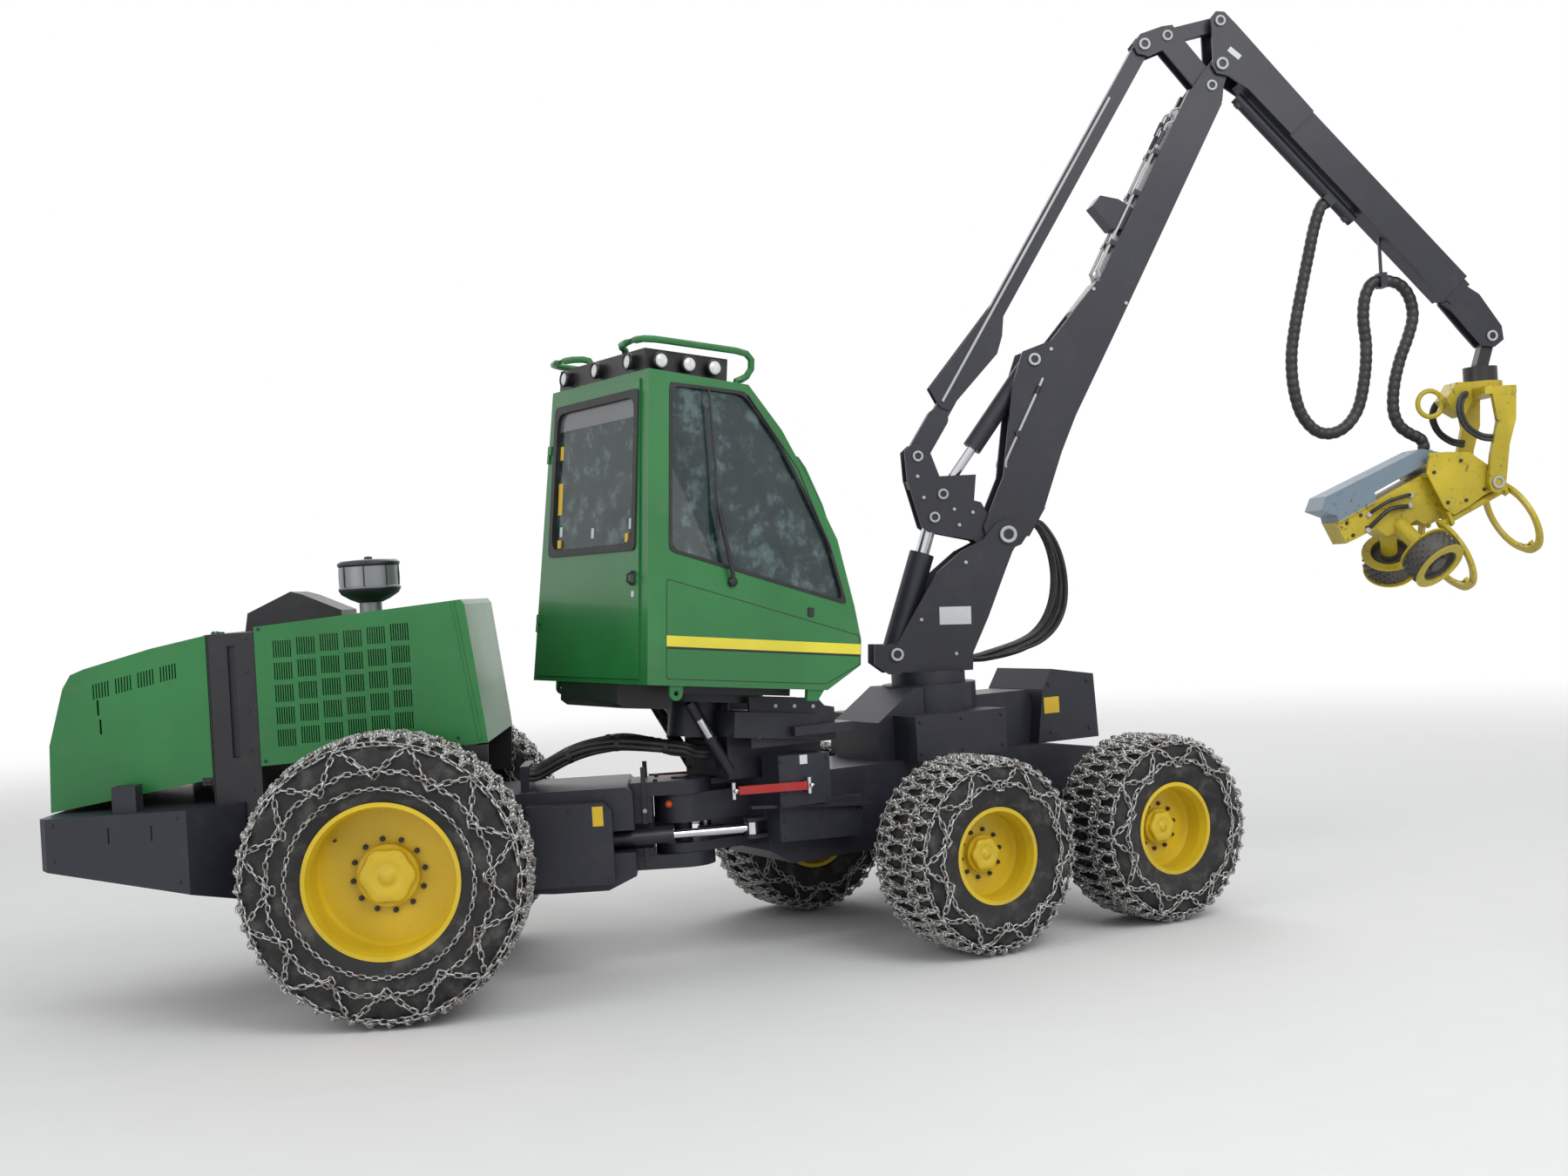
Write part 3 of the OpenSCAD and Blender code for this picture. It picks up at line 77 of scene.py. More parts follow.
JOINT_X, STEER, SLEW_X, SLEW = 1.72, 27.4, 2.0, -23.4
CAB_PIVOT, CAB_X, CAB_Z, CAB_LEAN, CAB_SWING = 0.82, 0.18, 1.783, 6, 2.6
TILT_PIN, HEAD_LEAN = (4.19, 0, 2.85), 25
rear = Place()
front = Place((JOINT_X, 0, 0), turn_z(STEER))
cab = front.inner((CAB_X, 0, CAB_Z), turn_z(CAB_SWING) @ turn_y(CAB_LEAN)).inner((-CAB_PIVOT, 0, 0))
crane = front.inner((SLEW_X, 0, 0), turn_z(SLEW))
head = crane.inner(TILT_PIN, turn_y(-HEAD_LEAN))
print("cab floor corner", cab((0, 0, 0)).round(3), "tilt pin", head((0, 0, 0)).round(3))

# %% [markdown]
# The camera stands where the photographer stood, a little over two metres up and held slightly askew.
# Its three axes are worked out from the heading, pitch and roll that were fitted to the picture.

# %% Camera
LENS, SENSOR = 41.39, 36.0
STAND = (1.905, -11.780, 2.421)
YAW, PITCH, ROLL = (math.radians(a) for a in (2.74, -0.14, -3.34))
ahead = np.array([math.sin(YAW) * math.cos(PITCH), math.cos(YAW) * math.cos(PITCH), math.sin(PITCH)])
level = np.array([math.cos(YAW), -math.sin(YAW), 0])
up = np.cross(level, ahead)
right = math.cos(ROLL) * level + math.sin(ROLL) * up
above = math.cos(ROLL) * up - math.sin(ROLL) * level
camera_data = bpy.data.cameras.new("camera")
camera_data.lens, camera_data.sensor_width = LENS, SENSOR
camera_data.clip_end = 200
camera = bpy.data.objects.new("camera", camera_data)
bpy.context.scene.collection.objects.link(camera)
camera.matrix_world = Matrix.Translation(STAND) @ Matrix(
    np.column_stack([right, above, -ahead]).tolist()).to_4x4()
bpy.context.scene.camera = camera
print("camera at", STAND, "with a lens of", LENS, "mm")

# %% [markdown]
# A surface here is a grid of points, and its faces join each point to its neighbours in the two directions.
# A Mesher gathers several grids into one mesh, with the direction in which each grid closes on itself.
# Its faces are put in with from_pydata, and the flat shading of sheet metal or the smooth one of a tube is
# chosen for each piece. What stands on both sides of the machine is drawn once, with s as -1 for the right
# side and 1 for the left.

# %% Grids to meshes
class Mesher:
    def __init__(self):
        self.points, self.faces, self.count = [], [], 0

    def copies(self, p, wrap_u=False, wrap_v=False):
        """The same grid many times: p has the copies first, then rows, columns and coordinates.

        A grid faces outwards where the sum of each quad's area, times its way from the middle, is positive.
        """
        p = np.asarray(p, float)
        k, n, m = p.shape[:3]
        i = np.arange(n if wrap_u else n - 1)[:, None]
        j = np.arange(m if wrap_v else m - 1)[None, :]
        quads = np.stack(np.broadcast_arrays(i * m + j, i * m + (j + 1) % m, ((i + 1) % n) * m + (j + 1) % m,
                                             ((i + 1) % n) * m + j), -1).reshape(-1, 4)
        q = p[0].reshape(-1, 3)[quads]
        area = np.cross(q[:, 2] - q[:, 0], q[:, 3] - q[:, 1])
        if np.sum(area * (q.mean(1) - p[0].reshape(-1, 3).mean(0))) < 0:
            quads = quads[:, ::-1]
        first = self.count + (np.arange(k) * n * m)[:, None, None]
        self.faces += (quads[None] + first).reshape(-1, 4).tolist()
        self.points.append(p.reshape(-1, 3))
        self.count += k * n * m
        return self

    def grid(self, p, wrap_u=False, wrap_v=False):
        """Quads between neighbours of an array of points, rows u and columns v."""
        return self.copies(np.asarray(p, float)[None], wrap_u, wrap_v)

    def cap(self, ring, outward):
        """One face over a closed ring of points, turned towards outward."""
        ring = np.asarray(ring, float)
        area = np.cross(ring - ring[0], np.roll(ring, -1, 0) - ring[0]).sum(0)
        order = list(range(self.count, self.count + len(ring)))
        self.faces.append(order if area @ np.asarray(outward, float) > 0 else order[::-1])
        self.points.append(ring)
        self.count += len(ring)
        return self

    def piece(self, name, material, body, smooth=True, bevel=0.0):
        """The object, facing outwards, riding on its body."""
        mesh = bpy.data.meshes.new(name)
        mesh.from_pydata(np.concatenate(self.points).tolist(), [], self.faces)
        mesh.polygons.foreach_set("use_smooth", [smooth] * len(mesh.polygons))
        mesh.materials.append(material)
        mesh.validate()
        mesh.update()
        made = bpy.data.objects.new(name, mesh)
        bpy.context.scene.collection.objects.link(made)
        if bevel:
            edge = made.modifiers.new("edges", "BEVEL")
            edge.width, edge.segments, edge.limit_method = bevel, 2, "ANGLE"
        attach(made, body)
        print(f"{name}: {len(mesh.polygons)} faces on {body}")
        return made


def unit(v):
    """Vectors of length one."""
    return v / np.linalg.norm(v, axis=-1, keepdims=True)


def run_along(line):
    """Distance from the line's start to each of its points."""
    return np.concatenate([[0], np.cumsum(np.linalg.norm(np.diff(line, axis=0), axis=1))])


def frames_along(path, closed=False):
    """Tangent and two cross directions at each point of a path."""
    path = np.asarray(path, float)
    if closed:
        t = np.roll(path, -1, 0) - np.roll(path, 1, 0)
    else:
        t = np.gradient(path, axis=0)
    t = unit(t)
    u = unit(np.cross(t, np.eye(3)[np.argmin(np.abs(t).mean(0))]))
    return t, u, np.cross(t, u)


def tube_rings(path, radius, sides, closed=False):
    """Rings of a tube: each path point plus its radius times cosine and sine of the angle round it."""
    path = np.asarray(path, float)
    radius = np.broadcast_to(np.asarray(radius, float), (len(path),))[:, None, None]
    t, u, v = frames_along(path, closed)
    a = np.linspace(0, 2 * np.pi, sides, endpoint=False)[None, :, None]
    return path[:, None] + radius * (np.cos(a) * u[:, None] + np.sin(a) * v[:, None])


def smooth_path(points, count):
    """A curve through the points: each stretch is a Catmull-Rom cubic, sampled evenly along its length."""
    p = np.asarray(points, float)
    p = np.vstack([2 * p[0] - p[1], p, 2 * p[-1] - p[-2]])
    t = np.linspace(0, 1, 24, endpoint=False)[:, None]
    parts = [0.5 * (2 * b + (c - a) * t + (2 * a - 5 * b + 4 * c - d) * t**2 + (3 * b - a - 3 * c + d) * t**3)
             for a, b, c, d in zip(p[:-3], p[1:-2], p[2:-1], p[3:])]
    line = np.vstack(parts + [p[-2:-1]])
    run = run_along(line)
    at = np.linspace(0, run[-1], count)
    return np.stack([np.interp(at, run, line[:, k]) for k in range(3)], -1)


def add_tube(m, path, radius, sides=10, closed=False):
    rings = tube_rings(path, radius, sides, closed)
    m.grid(rings, wrap_u=closed, wrap_v=True)
    if not closed:
        m.cap(rings[0], rings[0].mean(0) - rings[1].mean(0))
        m.cap(rings[-1], rings[-1].mean(0) - rings[-2].mean(0))
    return m


def add_prism(m, outline, low, high, place):
    """An outline of [x, z] points carried across from y = low to y = high in a place."""
    o = np.asarray(outline, float)
    ring = [place(np.column_stack([o[:, 0], np.full(len(o), y), o[:, 1]])) for y in (low, high)]
    m.grid(np.stack(ring), wrap_v=True)
    m.cap(ring[0], ring[0].mean(0) - ring[1].mean(0))
    m.cap(ring[1], ring[1].mean(0) - ring[0].mean(0))
    return m


def add_block(m, low, high, place):
    (x0, y0, z0), (x1, y1, z1) = low, high
    return add_prism(m, [(x0, z0), (x1, z0), (x1, z1), (x0, z1)], y0, y1, place)


def side_prism(m, s, outline, near, far, place):
    """An outline of [x, z] points carried from near to far out on side s."""
    return add_prism(m, outline, *sorted((s * near, s * far)), place)


def side_block(m, s, xs, zs, near, far, place):
    """A block between two x and two z, from near to far out on side s."""
    (x0, x1), (z0, z1) = xs, zs
    return side_prism(m, s, [(x0, z0), (x1, z0), (x1, z1), (x0, z1)], near, far, place)


def add_turned(m, profile, centre, axis, sides=32):
    """A profile of [radius, height] points turned about an axis through a centre."""
    axis = unit(np.asarray(axis, float))
    u = unit(np.cross(axis, np.eye(3)[np.argmin(np.abs(axis))]))
    v = np.cross(axis, u)
    a = np.linspace(0, 2 * np.pi, sides, endpoint=False)[None, :, None]
    r, h = (np.array(x, float)[:, None, None] for x in zip(*profile))
    rings = np.asarray(centre, float) + h * axis + r * (np.cos(a) * u + np.sin(a) * v)
    return m.grid(rings, wrap_v=True)


def bolt_profile(r, h):
    """Six-sided head with a small chamfer, closed on top."""
    return [(r, 0), (r, 0.8 * h), (0.85 * r, h), (1e-5, h)]


def add_bolts(m, centres, axis, r, h, place=rear):
    axis = np.asarray(axis, float) @ place.axes
    for c in place(np.atleast_2d(centres)):
        add_turned(m, bolt_profile(r, h), c, axis, 6)
    return m


def side_bolts(m, s, xs, y, zs, r, h, place=rear):
    """Bolts at every x and z of a face that lies y out on side s."""
    return add_bolts(m, [(x, s * y, z) for x in xs for z in zs], (0, s, 0), r, h, place)


print("grids, tubes, prisms, turned shapes and bolts ready")

# %% [markdown]
# Shader maths reads best as a sum in Python. A Value wraps the output of a node, and an operator on it adds
# the Math node that the sum needs. A Finish is one material with its shader, its object coordinates and one
# method that adds any other node.

# %% Shader expressions
class Value:
    """The output of a node, which takes part in sums like a number."""

    def __init__(self, tree, out):
        self.tree, self.out = tree, out

    def maths(self, operation, *terms):
        node = self.tree.nodes.new("ShaderNodeMath")
        node.operation = operation
        for socket, term in zip(node.inputs, terms):
            if isinstance(term, Value):
                self.tree.links.new(term.out, socket)
            else:
                socket.default_value = term
        return Value(self.tree, node.outputs[0])

    def __add__(self, x):
        return self.maths("ADD", self, x)

    def __radd__(self, x):
        return self.maths("ADD", x, self)

    def __sub__(self, x):
        return self.maths("SUBTRACT", self, x)

    def __rsub__(self, x):
        return self.maths("SUBTRACT", x, self)

    def __mul__(self, x):
        return self.maths("MULTIPLY", self, x)

    def __rmul__(self, x):
        return self.maths("MULTIPLY", x, self)

    def __gt__(self, x):
        return self.maths("GREATER_THAN", self, x)

    def __lt__(self, x):
        return self.maths("LESS_THAN", self, x)


class Finish:
    """One material: a shader, the object coordinates and nodes that vary them."""

    def __init__(self, name, **constants):
        self.material = bpy.data.materials.new(name)
        self.material.use_nodes = True
        self.tree = self.material.node_tree
        self.shader = self.tree.nodes["Principled BSDF"]
        self.at = self.add("TexCoord", out="Object")
        self.put(self.shader, {k.replace("_", " "): v for k, v in constants.items()})

    def put(self, node, inputs):
        for key, value in inputs.items():
            socket = node.inputs[key]
            if isinstance(value, Value):
                self.tree.links.new(value.out, socket)
            elif isinstance(value, tuple) and socket.type == "RGBA":
                socket.default_value = (*value[:3], 1)
            else:
                socket.default_value = value

    def add(self, kind, settings=None, inputs=None, out=0):
        node = self.tree.nodes.new("ShaderNode" + kind)
        for key, value in (settings or {}).items():
            setattr(node, key, value)
        self.put(node, inputs or {})
        return Value(self.tree, node.outputs[out])

    def mix(self, a, b, share):
        """Colour a turned to b by a share from 0 to 1."""
        return self.add("Mix", {"data_type": "RGBA"}, {0: share, 6: a, 7: b}, 2)

    def noise(self, scale, detail=3, rough=0.5, at=None):
        return self.add("TexNoise", {}, {"Vector": at or self.at, "Scale": scale, "Detail": detail,
                                         "Roughness": rough})

    def step(self, value, low, high):
        """0 below low and 1 above high, with a smooth rise between them."""
        return self.add("MapRange", {"interpolation_type": "SMOOTHSTEP"}, {0: value, 1: low, 2: high})

    def along(self, direction):
        """Distance along a direction, from the object's own coordinates."""
        return self.add("VectorMath", {"operation": "DOT_PRODUCT"}, {0: self.at, 1: tuple(direction)},
                        "Value")

    def finish(self, colour, rough, height=None, strength=0.3, depth=0.001, **more):
        self.put(self.shader, {"Base Color": colour, "Roughness": rough, **more})
        if height is not None:
            bump = self.add("Bump", {}, {"Strength": strength, "Distance": depth, "Height": height})
            self.put(self.shader, {"Normal": bump})
        return self.material


print("shader expressions ready")

# %% [markdown]
# The paint of a working machine is one colour with slow changes of tone, a little dust that settles in
# patches, and the fine ripple that a spray gun leaves. Chips show the dark primer. Every paint here is the
# same recipe with another colour, so that the machine looks painted in one shop.

# %% Paints
DUST = (0.20, 0.185, 0.16)


def paint(name, colour, rough=0.36, dust=0.10, chips=0.0, coat=0.25):
    f = Finish(name, Coat_Roughness=0.12)
    tone, grain, drift = f.noise(1.3, 4), f.noise(46, 3), f.noise(5.5, 6, 0.62)
    dark, light = tuple(0.86 * c for c in colour), tuple(min(1.10 * c + 0.002, 1) for c in colour)
    base = f.mix(dark, light, f.step(tone, 0.32, 0.68))
    dirt = f.step(drift, 0.50, 0.78) * dust
    base = f.mix(base, DUST, dirt)
    if chips:
        chip = f.step(f.noise(34, 4, 0.7), 0.66, 0.70) * f.step(f.noise(3.1, 2), 0.42, 0.62) * chips
        base = f.mix(base, (0.05, 0.045, 0.04), chip)
        rough_at = rough + 0.10 * grain + 0.35 * dirt + 0.3 * chip
    else:
        rough_at = rough + 0.10 * grain + 0.35 * dirt
    return f.finish(base, rough_at, f.noise(210, 2) + 0.6 * grain, 0.10, 0.001,
                    **{"Coat Weight": coat * (1 - dirt)})


GREEN = paint("green paint", (0.012, 0.160, 0.034), 0.34, 0.10)
CHARCOAL = paint("charcoal paint", (0.010, 0.011, 0.020), 0.46, 0.06, 0.30, 0.10)
BLACK = paint("black paint", (0.008, 0.008, 0.011), 0.42, 0.05, 0.0, 0.10)
RIM_YELLOW = paint("rim yellow paint", (0.66, 0.47, 0.012), 0.40, 0.12, 0.5, 0.15)
STRIPE = paint("stripe yellow", (0.76, 0.66, 0.045), 0.38, 0.05, 0.0, 0.1)
PLATE_YELLOW = paint("plate yellow", (0.70, 0.46, 0.02), 0.42, 0.06, 0.0, 0.1)
WHITE = paint("white plate", (0.62, 0.64, 0.66), 0.45, 0.08, 0.0, 0.05)
RED = paint("red paint", (0.42, 0.016, 0.014), 0.40, 0.12, 0.3, 0.1)
ORANGE = paint("orange plastic", (0.62, 0.10, 0.012), 0.45, 0.05, 0.0, 0.0)
METALLIC = paint("grey metallic paint", (0.22, 0.23, 0.245), 0.34, 0.08, 0.0, 0.2)
METALLIC.node_tree.nodes["Principled BSDF"].inputs["Metallic"].default_value = 0.6
CAP_GREY = paint("pin cap grey", (0.46, 0.47, 0.48), 0.40, 0.08, 0.3, 0.0)
DRUM = paint("roller iron", (0.075, 0.070, 0.064), 0.62, 0.35, 0.6, 0.0)
print("paints", [m.name for m in bpy.data.materials])

# %% [markdown]
# The other finishes: worn bright steel for the chains, with rust where it doesn't rub; hard chrome on the
# rods; dull rubber for tyres and hoses; window panes that are clear from the front and mirror at a slant,
# with painted reflections as lighter patches; dark upholstery with a woven face; raw iron for the engine.

# %% Metals, rubber, glass and cloth
def chain_steel():
    f = Finish("worn chain steel", Metallic=0.9)
    rub, rust = f.noise(60, 3), f.step(f.noise(17, 4, 0.6), 0.50, 0.68)
    base = f.mix((0.50, 0.50, 0.49), (0.17, 0.105, 0.07), 0.75 * rust)
    return f.finish(base, 0.30 + 0.25 * rub + 0.2 * rust, rub, 0.25, 0.001)


def chrome():
    f = Finish("hard chrome", Metallic=1.0)
    return f.finish(f.mix((0.72, 0.73, 0.75), (0.60, 0.61, 0.63), f.noise(9, 3)),
                    0.07 + 0.08 * f.noise(70, 2), f.noise(300, 2), 0.03, 0.0005)


def rubber(name, colour, dusty, rough, ripple):
    f = Finish(name)
    drift = f.step(f.noise(7, 5, 0.6), 0.45, 0.75) * dusty
    return f.finish(f.mix(colour, (0.13, 0.125, 0.115), drift), rough + 0.15 * drift + 0.08 * f.noise(30),
                    f.noise(ripple, 4, 0.6), 0.25, 0.0015)


def pane():
    f = Finish("window pane", Specular_IOR_Level=0.8)
    slant = f.add("Fresnel", {}, {"IOR": 1.5})
    # painted reflections: lighter patches in the pane's colour stand in for the sky reflected in the glass
    haze, painted_reflections = f.noise(2.2, 4), f.step(f.noise(7, 6, 0.72), 0.48, 0.66)
    return f.finish(f.mix((0.022, 0.045, 0.048), (0.13, 0.21, 0.22), painted_reflections), 0.03 + 0.05 * haze,
                    **{"Alpha": 0.46 + 0.14 * haze + 0.40 * slant})


def cloth():
    f = Finish("seat cloth", Sheen_Weight=0.35, Sheen_Roughness=0.5)
    down, over = (f.add("TexWave", {"wave_type": "BANDS", "bands_direction": axis},
                        {"Vector": f.at, "Scale": 90.0}, "Fac") for axis in "YZ")
    weave = down * over
    return f.finish(f.mix((0.018, 0.019, 0.022), (0.045, 0.047, 0.052), weave * f.noise(12)),
                    0.85 - 0.1 * weave, weave, 0.4, 0.001)


def raw_iron():
    f = Finish("raw iron", Metallic=0.5)
    return f.finish(f.mix((0.09, 0.09, 0.09), (0.16, 0.13, 0.10), f.noise(8, 5)), 0.6 + 0.15 * f.noise(40),
                    f.noise(150, 3), 0.3, 0.001)


CHAIN, CHROME, PANE, CLOTH, IRON = chain_steel(), chrome(), pane(), cloth(), raw_iron()
TYRE = rubber("tyre rubber", (0.011, 0.011, 0.012), 0.55, 0.72, 90)
HOSE = rubber("hose rubber", (0.012, 0.012, 0.013), 0.22, 0.42, 160)
SEAL = rubber("window seal", (0.009, 0.009, 0.010), 0.15, 0.50, 120)
LENS = Finish("lamp lens", Coat_Weight=0.8, Coat_Roughness=0.03)
facets = LENS.add("TexVoronoi", {}, {"Vector": LENS.at, "Scale": 70.0}, "Distance")
LENS = LENS.finish(LENS.mix((0.80, 0.82, 0.80), (0.55, 0.57, 0.58), facets), 0.12 + 0.1 * facets, facets,
                   0.3, 0.002)
print(len(bpy.data.materials), "materials")


# %% [markdown]
# The head is yellow, and the top of the long cover over its saw is painted grey-blue, a painted sky
# reflection. Both are one solid, so the paint itself knows the place of that top: higher than the head's
# beam and narrower than its side plates. Heights and widths are sums of the coordinates with the head's own
# directions.

# %% Head paint
def head_paint(name, painted_sky_top):
    f = Finish(name, Coat_Weight=0.1)
    origin, (hx, hy, hz) = head.origin, head.axes
    scuff, drift, grain = f.noise(26, 5, 0.68), f.noise(4.5, 5, 0.6), f.noise(60, 2)
    base = f.mix((0.40, 0.31, 0.010), (0.56, 0.43, 0.018), f.step(f.noise(2, 4), 0.35, 0.65))
    if painted_sky_top:
        height, across = f.along(hz) - float(hz @ origin), f.along(hy) - float(hy @ origin)
        # painted sky reflection: the cover's top, above the beam and between the side plates, turns grey-blue
        cover = (height > 0.2905) * (across > -0.16) * (across < 0.16)
        base = f.mix(base, (0.16, 0.215, 0.27), cover)
    worn = f.step(scuff, 0.56, 0.66) * f.step(drift, 0.40, 0.62)
    base = f.mix(base, (0.055, 0.05, 0.045), 0.85 * worn)
    return f.finish(base, 0.42 + 0.12 * grain + 0.2 * worn, grain + worn, 0.15, 0.001)


HEAD_FRAME, HEAD_YELLOW = head_paint("head paint", True), head_paint("head yellow", False)
print("head paints", HEAD_FRAME.name, HEAD_YELLOW.name)

# %% [markdown]
# Each solid of the machine takes its finish here by its name. The solids keep their shapes and places, and
# only their material slots change.

# %% Finishes of the solids
FINISHES = {
    GREEN: ["engine_cover", "rear_hood", "cab_shell", "cab_door", "cab_rails"],
    RIM_YELLOW: [n for n in nodes if "rim_" in n],
    HEAD_FRAME: ["head_frame"],
    HEAD_YELLOW: ["tilt_frame", "knife_right", "knife_left"],
    CHROME: [n for n in nodes if "_rod" in n],
    PANE: ["cab_glass", "door_glass"],
    BLACK: ["cooler_pillar", "hanger", "lamp_bar", "cab_subframe"],
    METALLIC: ["air_cleaner"],
    IRON: ["engine_block"],
    TYRE: [n for n in nodes if "tyre_" in n],
    HOSE: [n for n in nodes if "hoses" in n],
    CHAIN: ["roller_right", "roller_left"],
    CLOTH: ["cab_seat"],
}
finish_of = {n: m for m, names in FINISHES.items() for n in names}
for name, node in nodes.items():
    node.data.materials.clear()
    node.data.materials.append(finish_of.get(name, CHARCOAL))
print(len(nodes), "solids painted,", sum(n not in finish_of for n in nodes), "of them charcoal")

# %% [markdown]
# The studio: a pale floor that fades into a white background, an even sky and two large soft lamps. The
# white that the camera, the gloss and the glass see comes from Light Path and not from more light.

# %% Floor and light
LAMPS_AIM = np.array([2.5, 0, 1.8])
# Columns: name, place, size, power in watts
LAMPS = [("key", (9, -11, 12), 9, 1150), ("fill", (-9, -9, 7), 8, 420), ("back", (4, 12, 11), 9, 500)]


def studio():
    f = Finish("studio floor")
    seen = f.add("LightPath", out="Is Camera Ray")
    far = f.step(f.add("VectorMath", {"operation": "LENGTH"}, {0: f.at}, "Value"), 9.0, 26.0)
    grain = f.noise(3, 2)
    f.finish(f.mix((0.74, 0.745, 0.75), (0.77, 0.775, 0.78), grain), 0.85)
    white = f.add("Emission", {}, {"Color": (1.0, 1.0, 1.0), "Strength": 1.0})
    mixed = f.add("MixShader", {}, {0: seen * far, 1: Value(f.tree, f.shader.outputs[0]), 2: white})
    f.tree.links.new(mixed.out, f.tree.nodes["Material Output"].inputs["Surface"])
    mesh = bpy.data.meshes.new("studio_floor")
    r, a = np.meshgrid(np.array([0.0, 6, 14, 40, 120]), np.linspace(0, 2 * np.pi, 49))
    p = np.stack([r * np.cos(a) + 2, r * np.sin(a), 0 * r - 0.002], -1).reshape(-1, 3)
    i, j = np.meshgrid(np.arange(48), np.arange(4), indexing="ij")
    quads = np.stack([i * 5 + j, i * 5 + j + 1, (i + 1) * 5 + j + 1, (i + 1) * 5 + j], -1).reshape(-1, 4)
    mesh.from_pydata(p.tolist(), [], quads.tolist())
    mesh.materials.append(f.material)
    floor = bpy.data.objects.new("studio_floor", mesh)
    bpy.context.scene.collection.objects.link(floor)

    world = bpy.data.worlds.new("studio sky")
    bpy.context.scene.world = world
    world.use_nodes = True
    tree = world.node_tree
    path = tree.nodes.new("ShaderNodeLightPath")
    ray = [Value(tree, path.outputs[k]) for k in ("Is Camera Ray", "Is Glossy Ray", "Is Transmission Ray")]
    level = 0.62 + 0.38 * (ray[0] + ray[1] + ray[2])
    sky = tree.nodes["Background"]
    sky.inputs["Color"].default_value = (1, 1, 1, 1)
    tree.links.new(level.out, sky.inputs["Strength"])

    for name, place, size, power in LAMPS:
        lamp = bpy.data.lights.new(name, "AREA")
        lamp.size, lamp.energy = size, power
        made = bpy.data.objects.new(name, lamp)
        bpy.context.scene.collection.objects.link(made)
        z = unit(np.array(place, float) - LAMPS_AIM)
        x = unit(np.cross([0, 0, 1], z))
        turned = Matrix(np.column_stack([x, np.cross(z, x), z]).tolist()).to_4x4()
        made.matrix_world = Matrix.Translation(place) @ turned
    bpy.context.scene.view_settings.view_transform = "Standard"


studio()
print("studio ready")

# %% [markdown]
# Bundles of hydraulic hoses are free between their clamps: three over the frame joint, three at the crane's
# foot and two that hang under the stick. Among the solids each bundle is one thick tube. Here it is several
# thin hoses that wind slowly round the bundle's line, with a black wrap at intervals, and the two that hang
# are wrapped all along. The route is the one of the solids, in metres.

# %% Hose bundles
def bundle(name, route, body, radius, hoses, count, wraps, spread=0.0):
    """Hoses round a centre line: each is the line plus a radius times cosine and sine of a slow twist.

    With a spread the hoses stand apart between their ends, by the sine of half a turn along the run.
    """
    line = smooth_path(route, count)
    t, u, v = frames_along(line)
    run = run_along(line)
    thin = radius * (0.40 if hoses > 4 else 0.46)
    m = Mesher()
    ease = np.clip(np.minimum(run, run[-1] - run) / 0.12, 0, 1)[:, None]
    for k in range(hoses):
        angle = (2 * np.pi * k / (hoses - 1) + 1.1 * run)[:, None]
        out = 0 if k == hoses - 1 else radius - thin + spread * np.sin(np.pi * run / run[-1])[:, None]
        wander = 1 + 0.10 * np.sin(9 * run + 2.1 * k)[:, None] * ease
        add_tube(m, line + out * wander * (np.cos(angle) * u + np.sin(angle) * v), thin, 8)
    for i in np.linspace(0, count - 1, wraps + 2)[1:-1].astype(int):
        add_tube(m, np.stack([line[i] - 0.014 * t[i], line[i], line[i] + 0.014 * t[i]]), radius * 1.04, 14)
    made = m.piece(name, HOSE, body)
    return made, float(run[-1])


JOINT_REAR = [(0.760, 1.290), (0.810, 1.290), (0.900, 1.335), (1.010, 1.390), (1.130, 1.430), (1.260, 1.450),
              (1.390, 1.450)]
JOINT_FRONT = [(-0.060, 1.405), (0.020, 1.375), (0.080, 1.362), (0.115, 1.360), (0.1497, 1.360)]
for k, y in enumerate((-0.150, 0, 0.150)):
    route = np.vstack([[(x, y, z) for x, z in JOINT_REAR], front([(x, y, z) for x, z in JOINT_FRONT])])
    made, long = bundle(f"joint_hoses_{k + 1}", route, "rear_frame", 0.046, 6, 40, 3)
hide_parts("joint_hoses")
print("joint bundle length", round(long, 3))

COLUMN_ROUTE = [(0.8318, 2.7523), (0.8611, 2.7332), (0.897, 2.680), (0.938, 2.590), (0.968, 2.480),
                (0.985, 2.350), (0.980, 2.220), (0.950, 2.110), (0.890, 2.010), (0.800, 1.930),
                (0.690, 1.880), (0.570, 1.848), (0.450, 1.825), (0.380, 1.815), (0.3023, 1.815)]
for k, y in enumerate((-0.060, 0, 0.060)):
    made, long = bundle(f"column_hoses_{k + 1}", crane([(x, y, z) for x, z in COLUMN_ROUTE]), "column",
                        0.026, 4, 44, 0, 0.034)
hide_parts("column_hoses")
print("column bundle length", round(long, 3))

STICK_FROM, STICK_TO = np.array([2.600, 5.907]), np.array([4.050, 4.287])
stick_dir = unit(STICK_TO - STICK_FROM)
stick_up = np.array([-stick_dir[1], stick_dir[0]])


def off_stick(x, z):
    """A point x metres along the stick's axis and z metres above it."""
    return tuple(STICK_FROM + x * stick_dir + z * stick_up)


CLAMP = (3.530, 4.370)
STICK_ROUTE = [off_stick(1.065, -0.2403), off_stick(1.065, -0.2903), (3.040, 4.780), (2.990, 4.600),
               (2.920, 4.340), (2.855, 4.080), (2.815, 3.860), (2.815, 3.640), (2.860, 3.440),
               (2.960, 3.310), (3.080, 3.280), (3.200, 3.330), (3.300, 3.460), (3.360, 3.680),
               (3.385, 3.900), (3.375, 4.100), (3.395, 4.250), (3.440, 4.345), (3.480, 4.370),
               (CLAMP[0] - 0.0253, CLAMP[1])]
HEAD_ROUTE = [(CLAMP[0] + 0.0253, CLAMP[1]), (3.590, 4.370), (3.670, 4.340), (3.735, 4.250), (3.755, 4.110),
              (3.710, 3.960), (3.640, 3.800), (3.585, 3.620), (3.565, 3.440), (3.600, 3.320), (3.680, 3.250),
              (3.750, 3.215), (3.780, 3.1703), (3.780, 3.1203)]


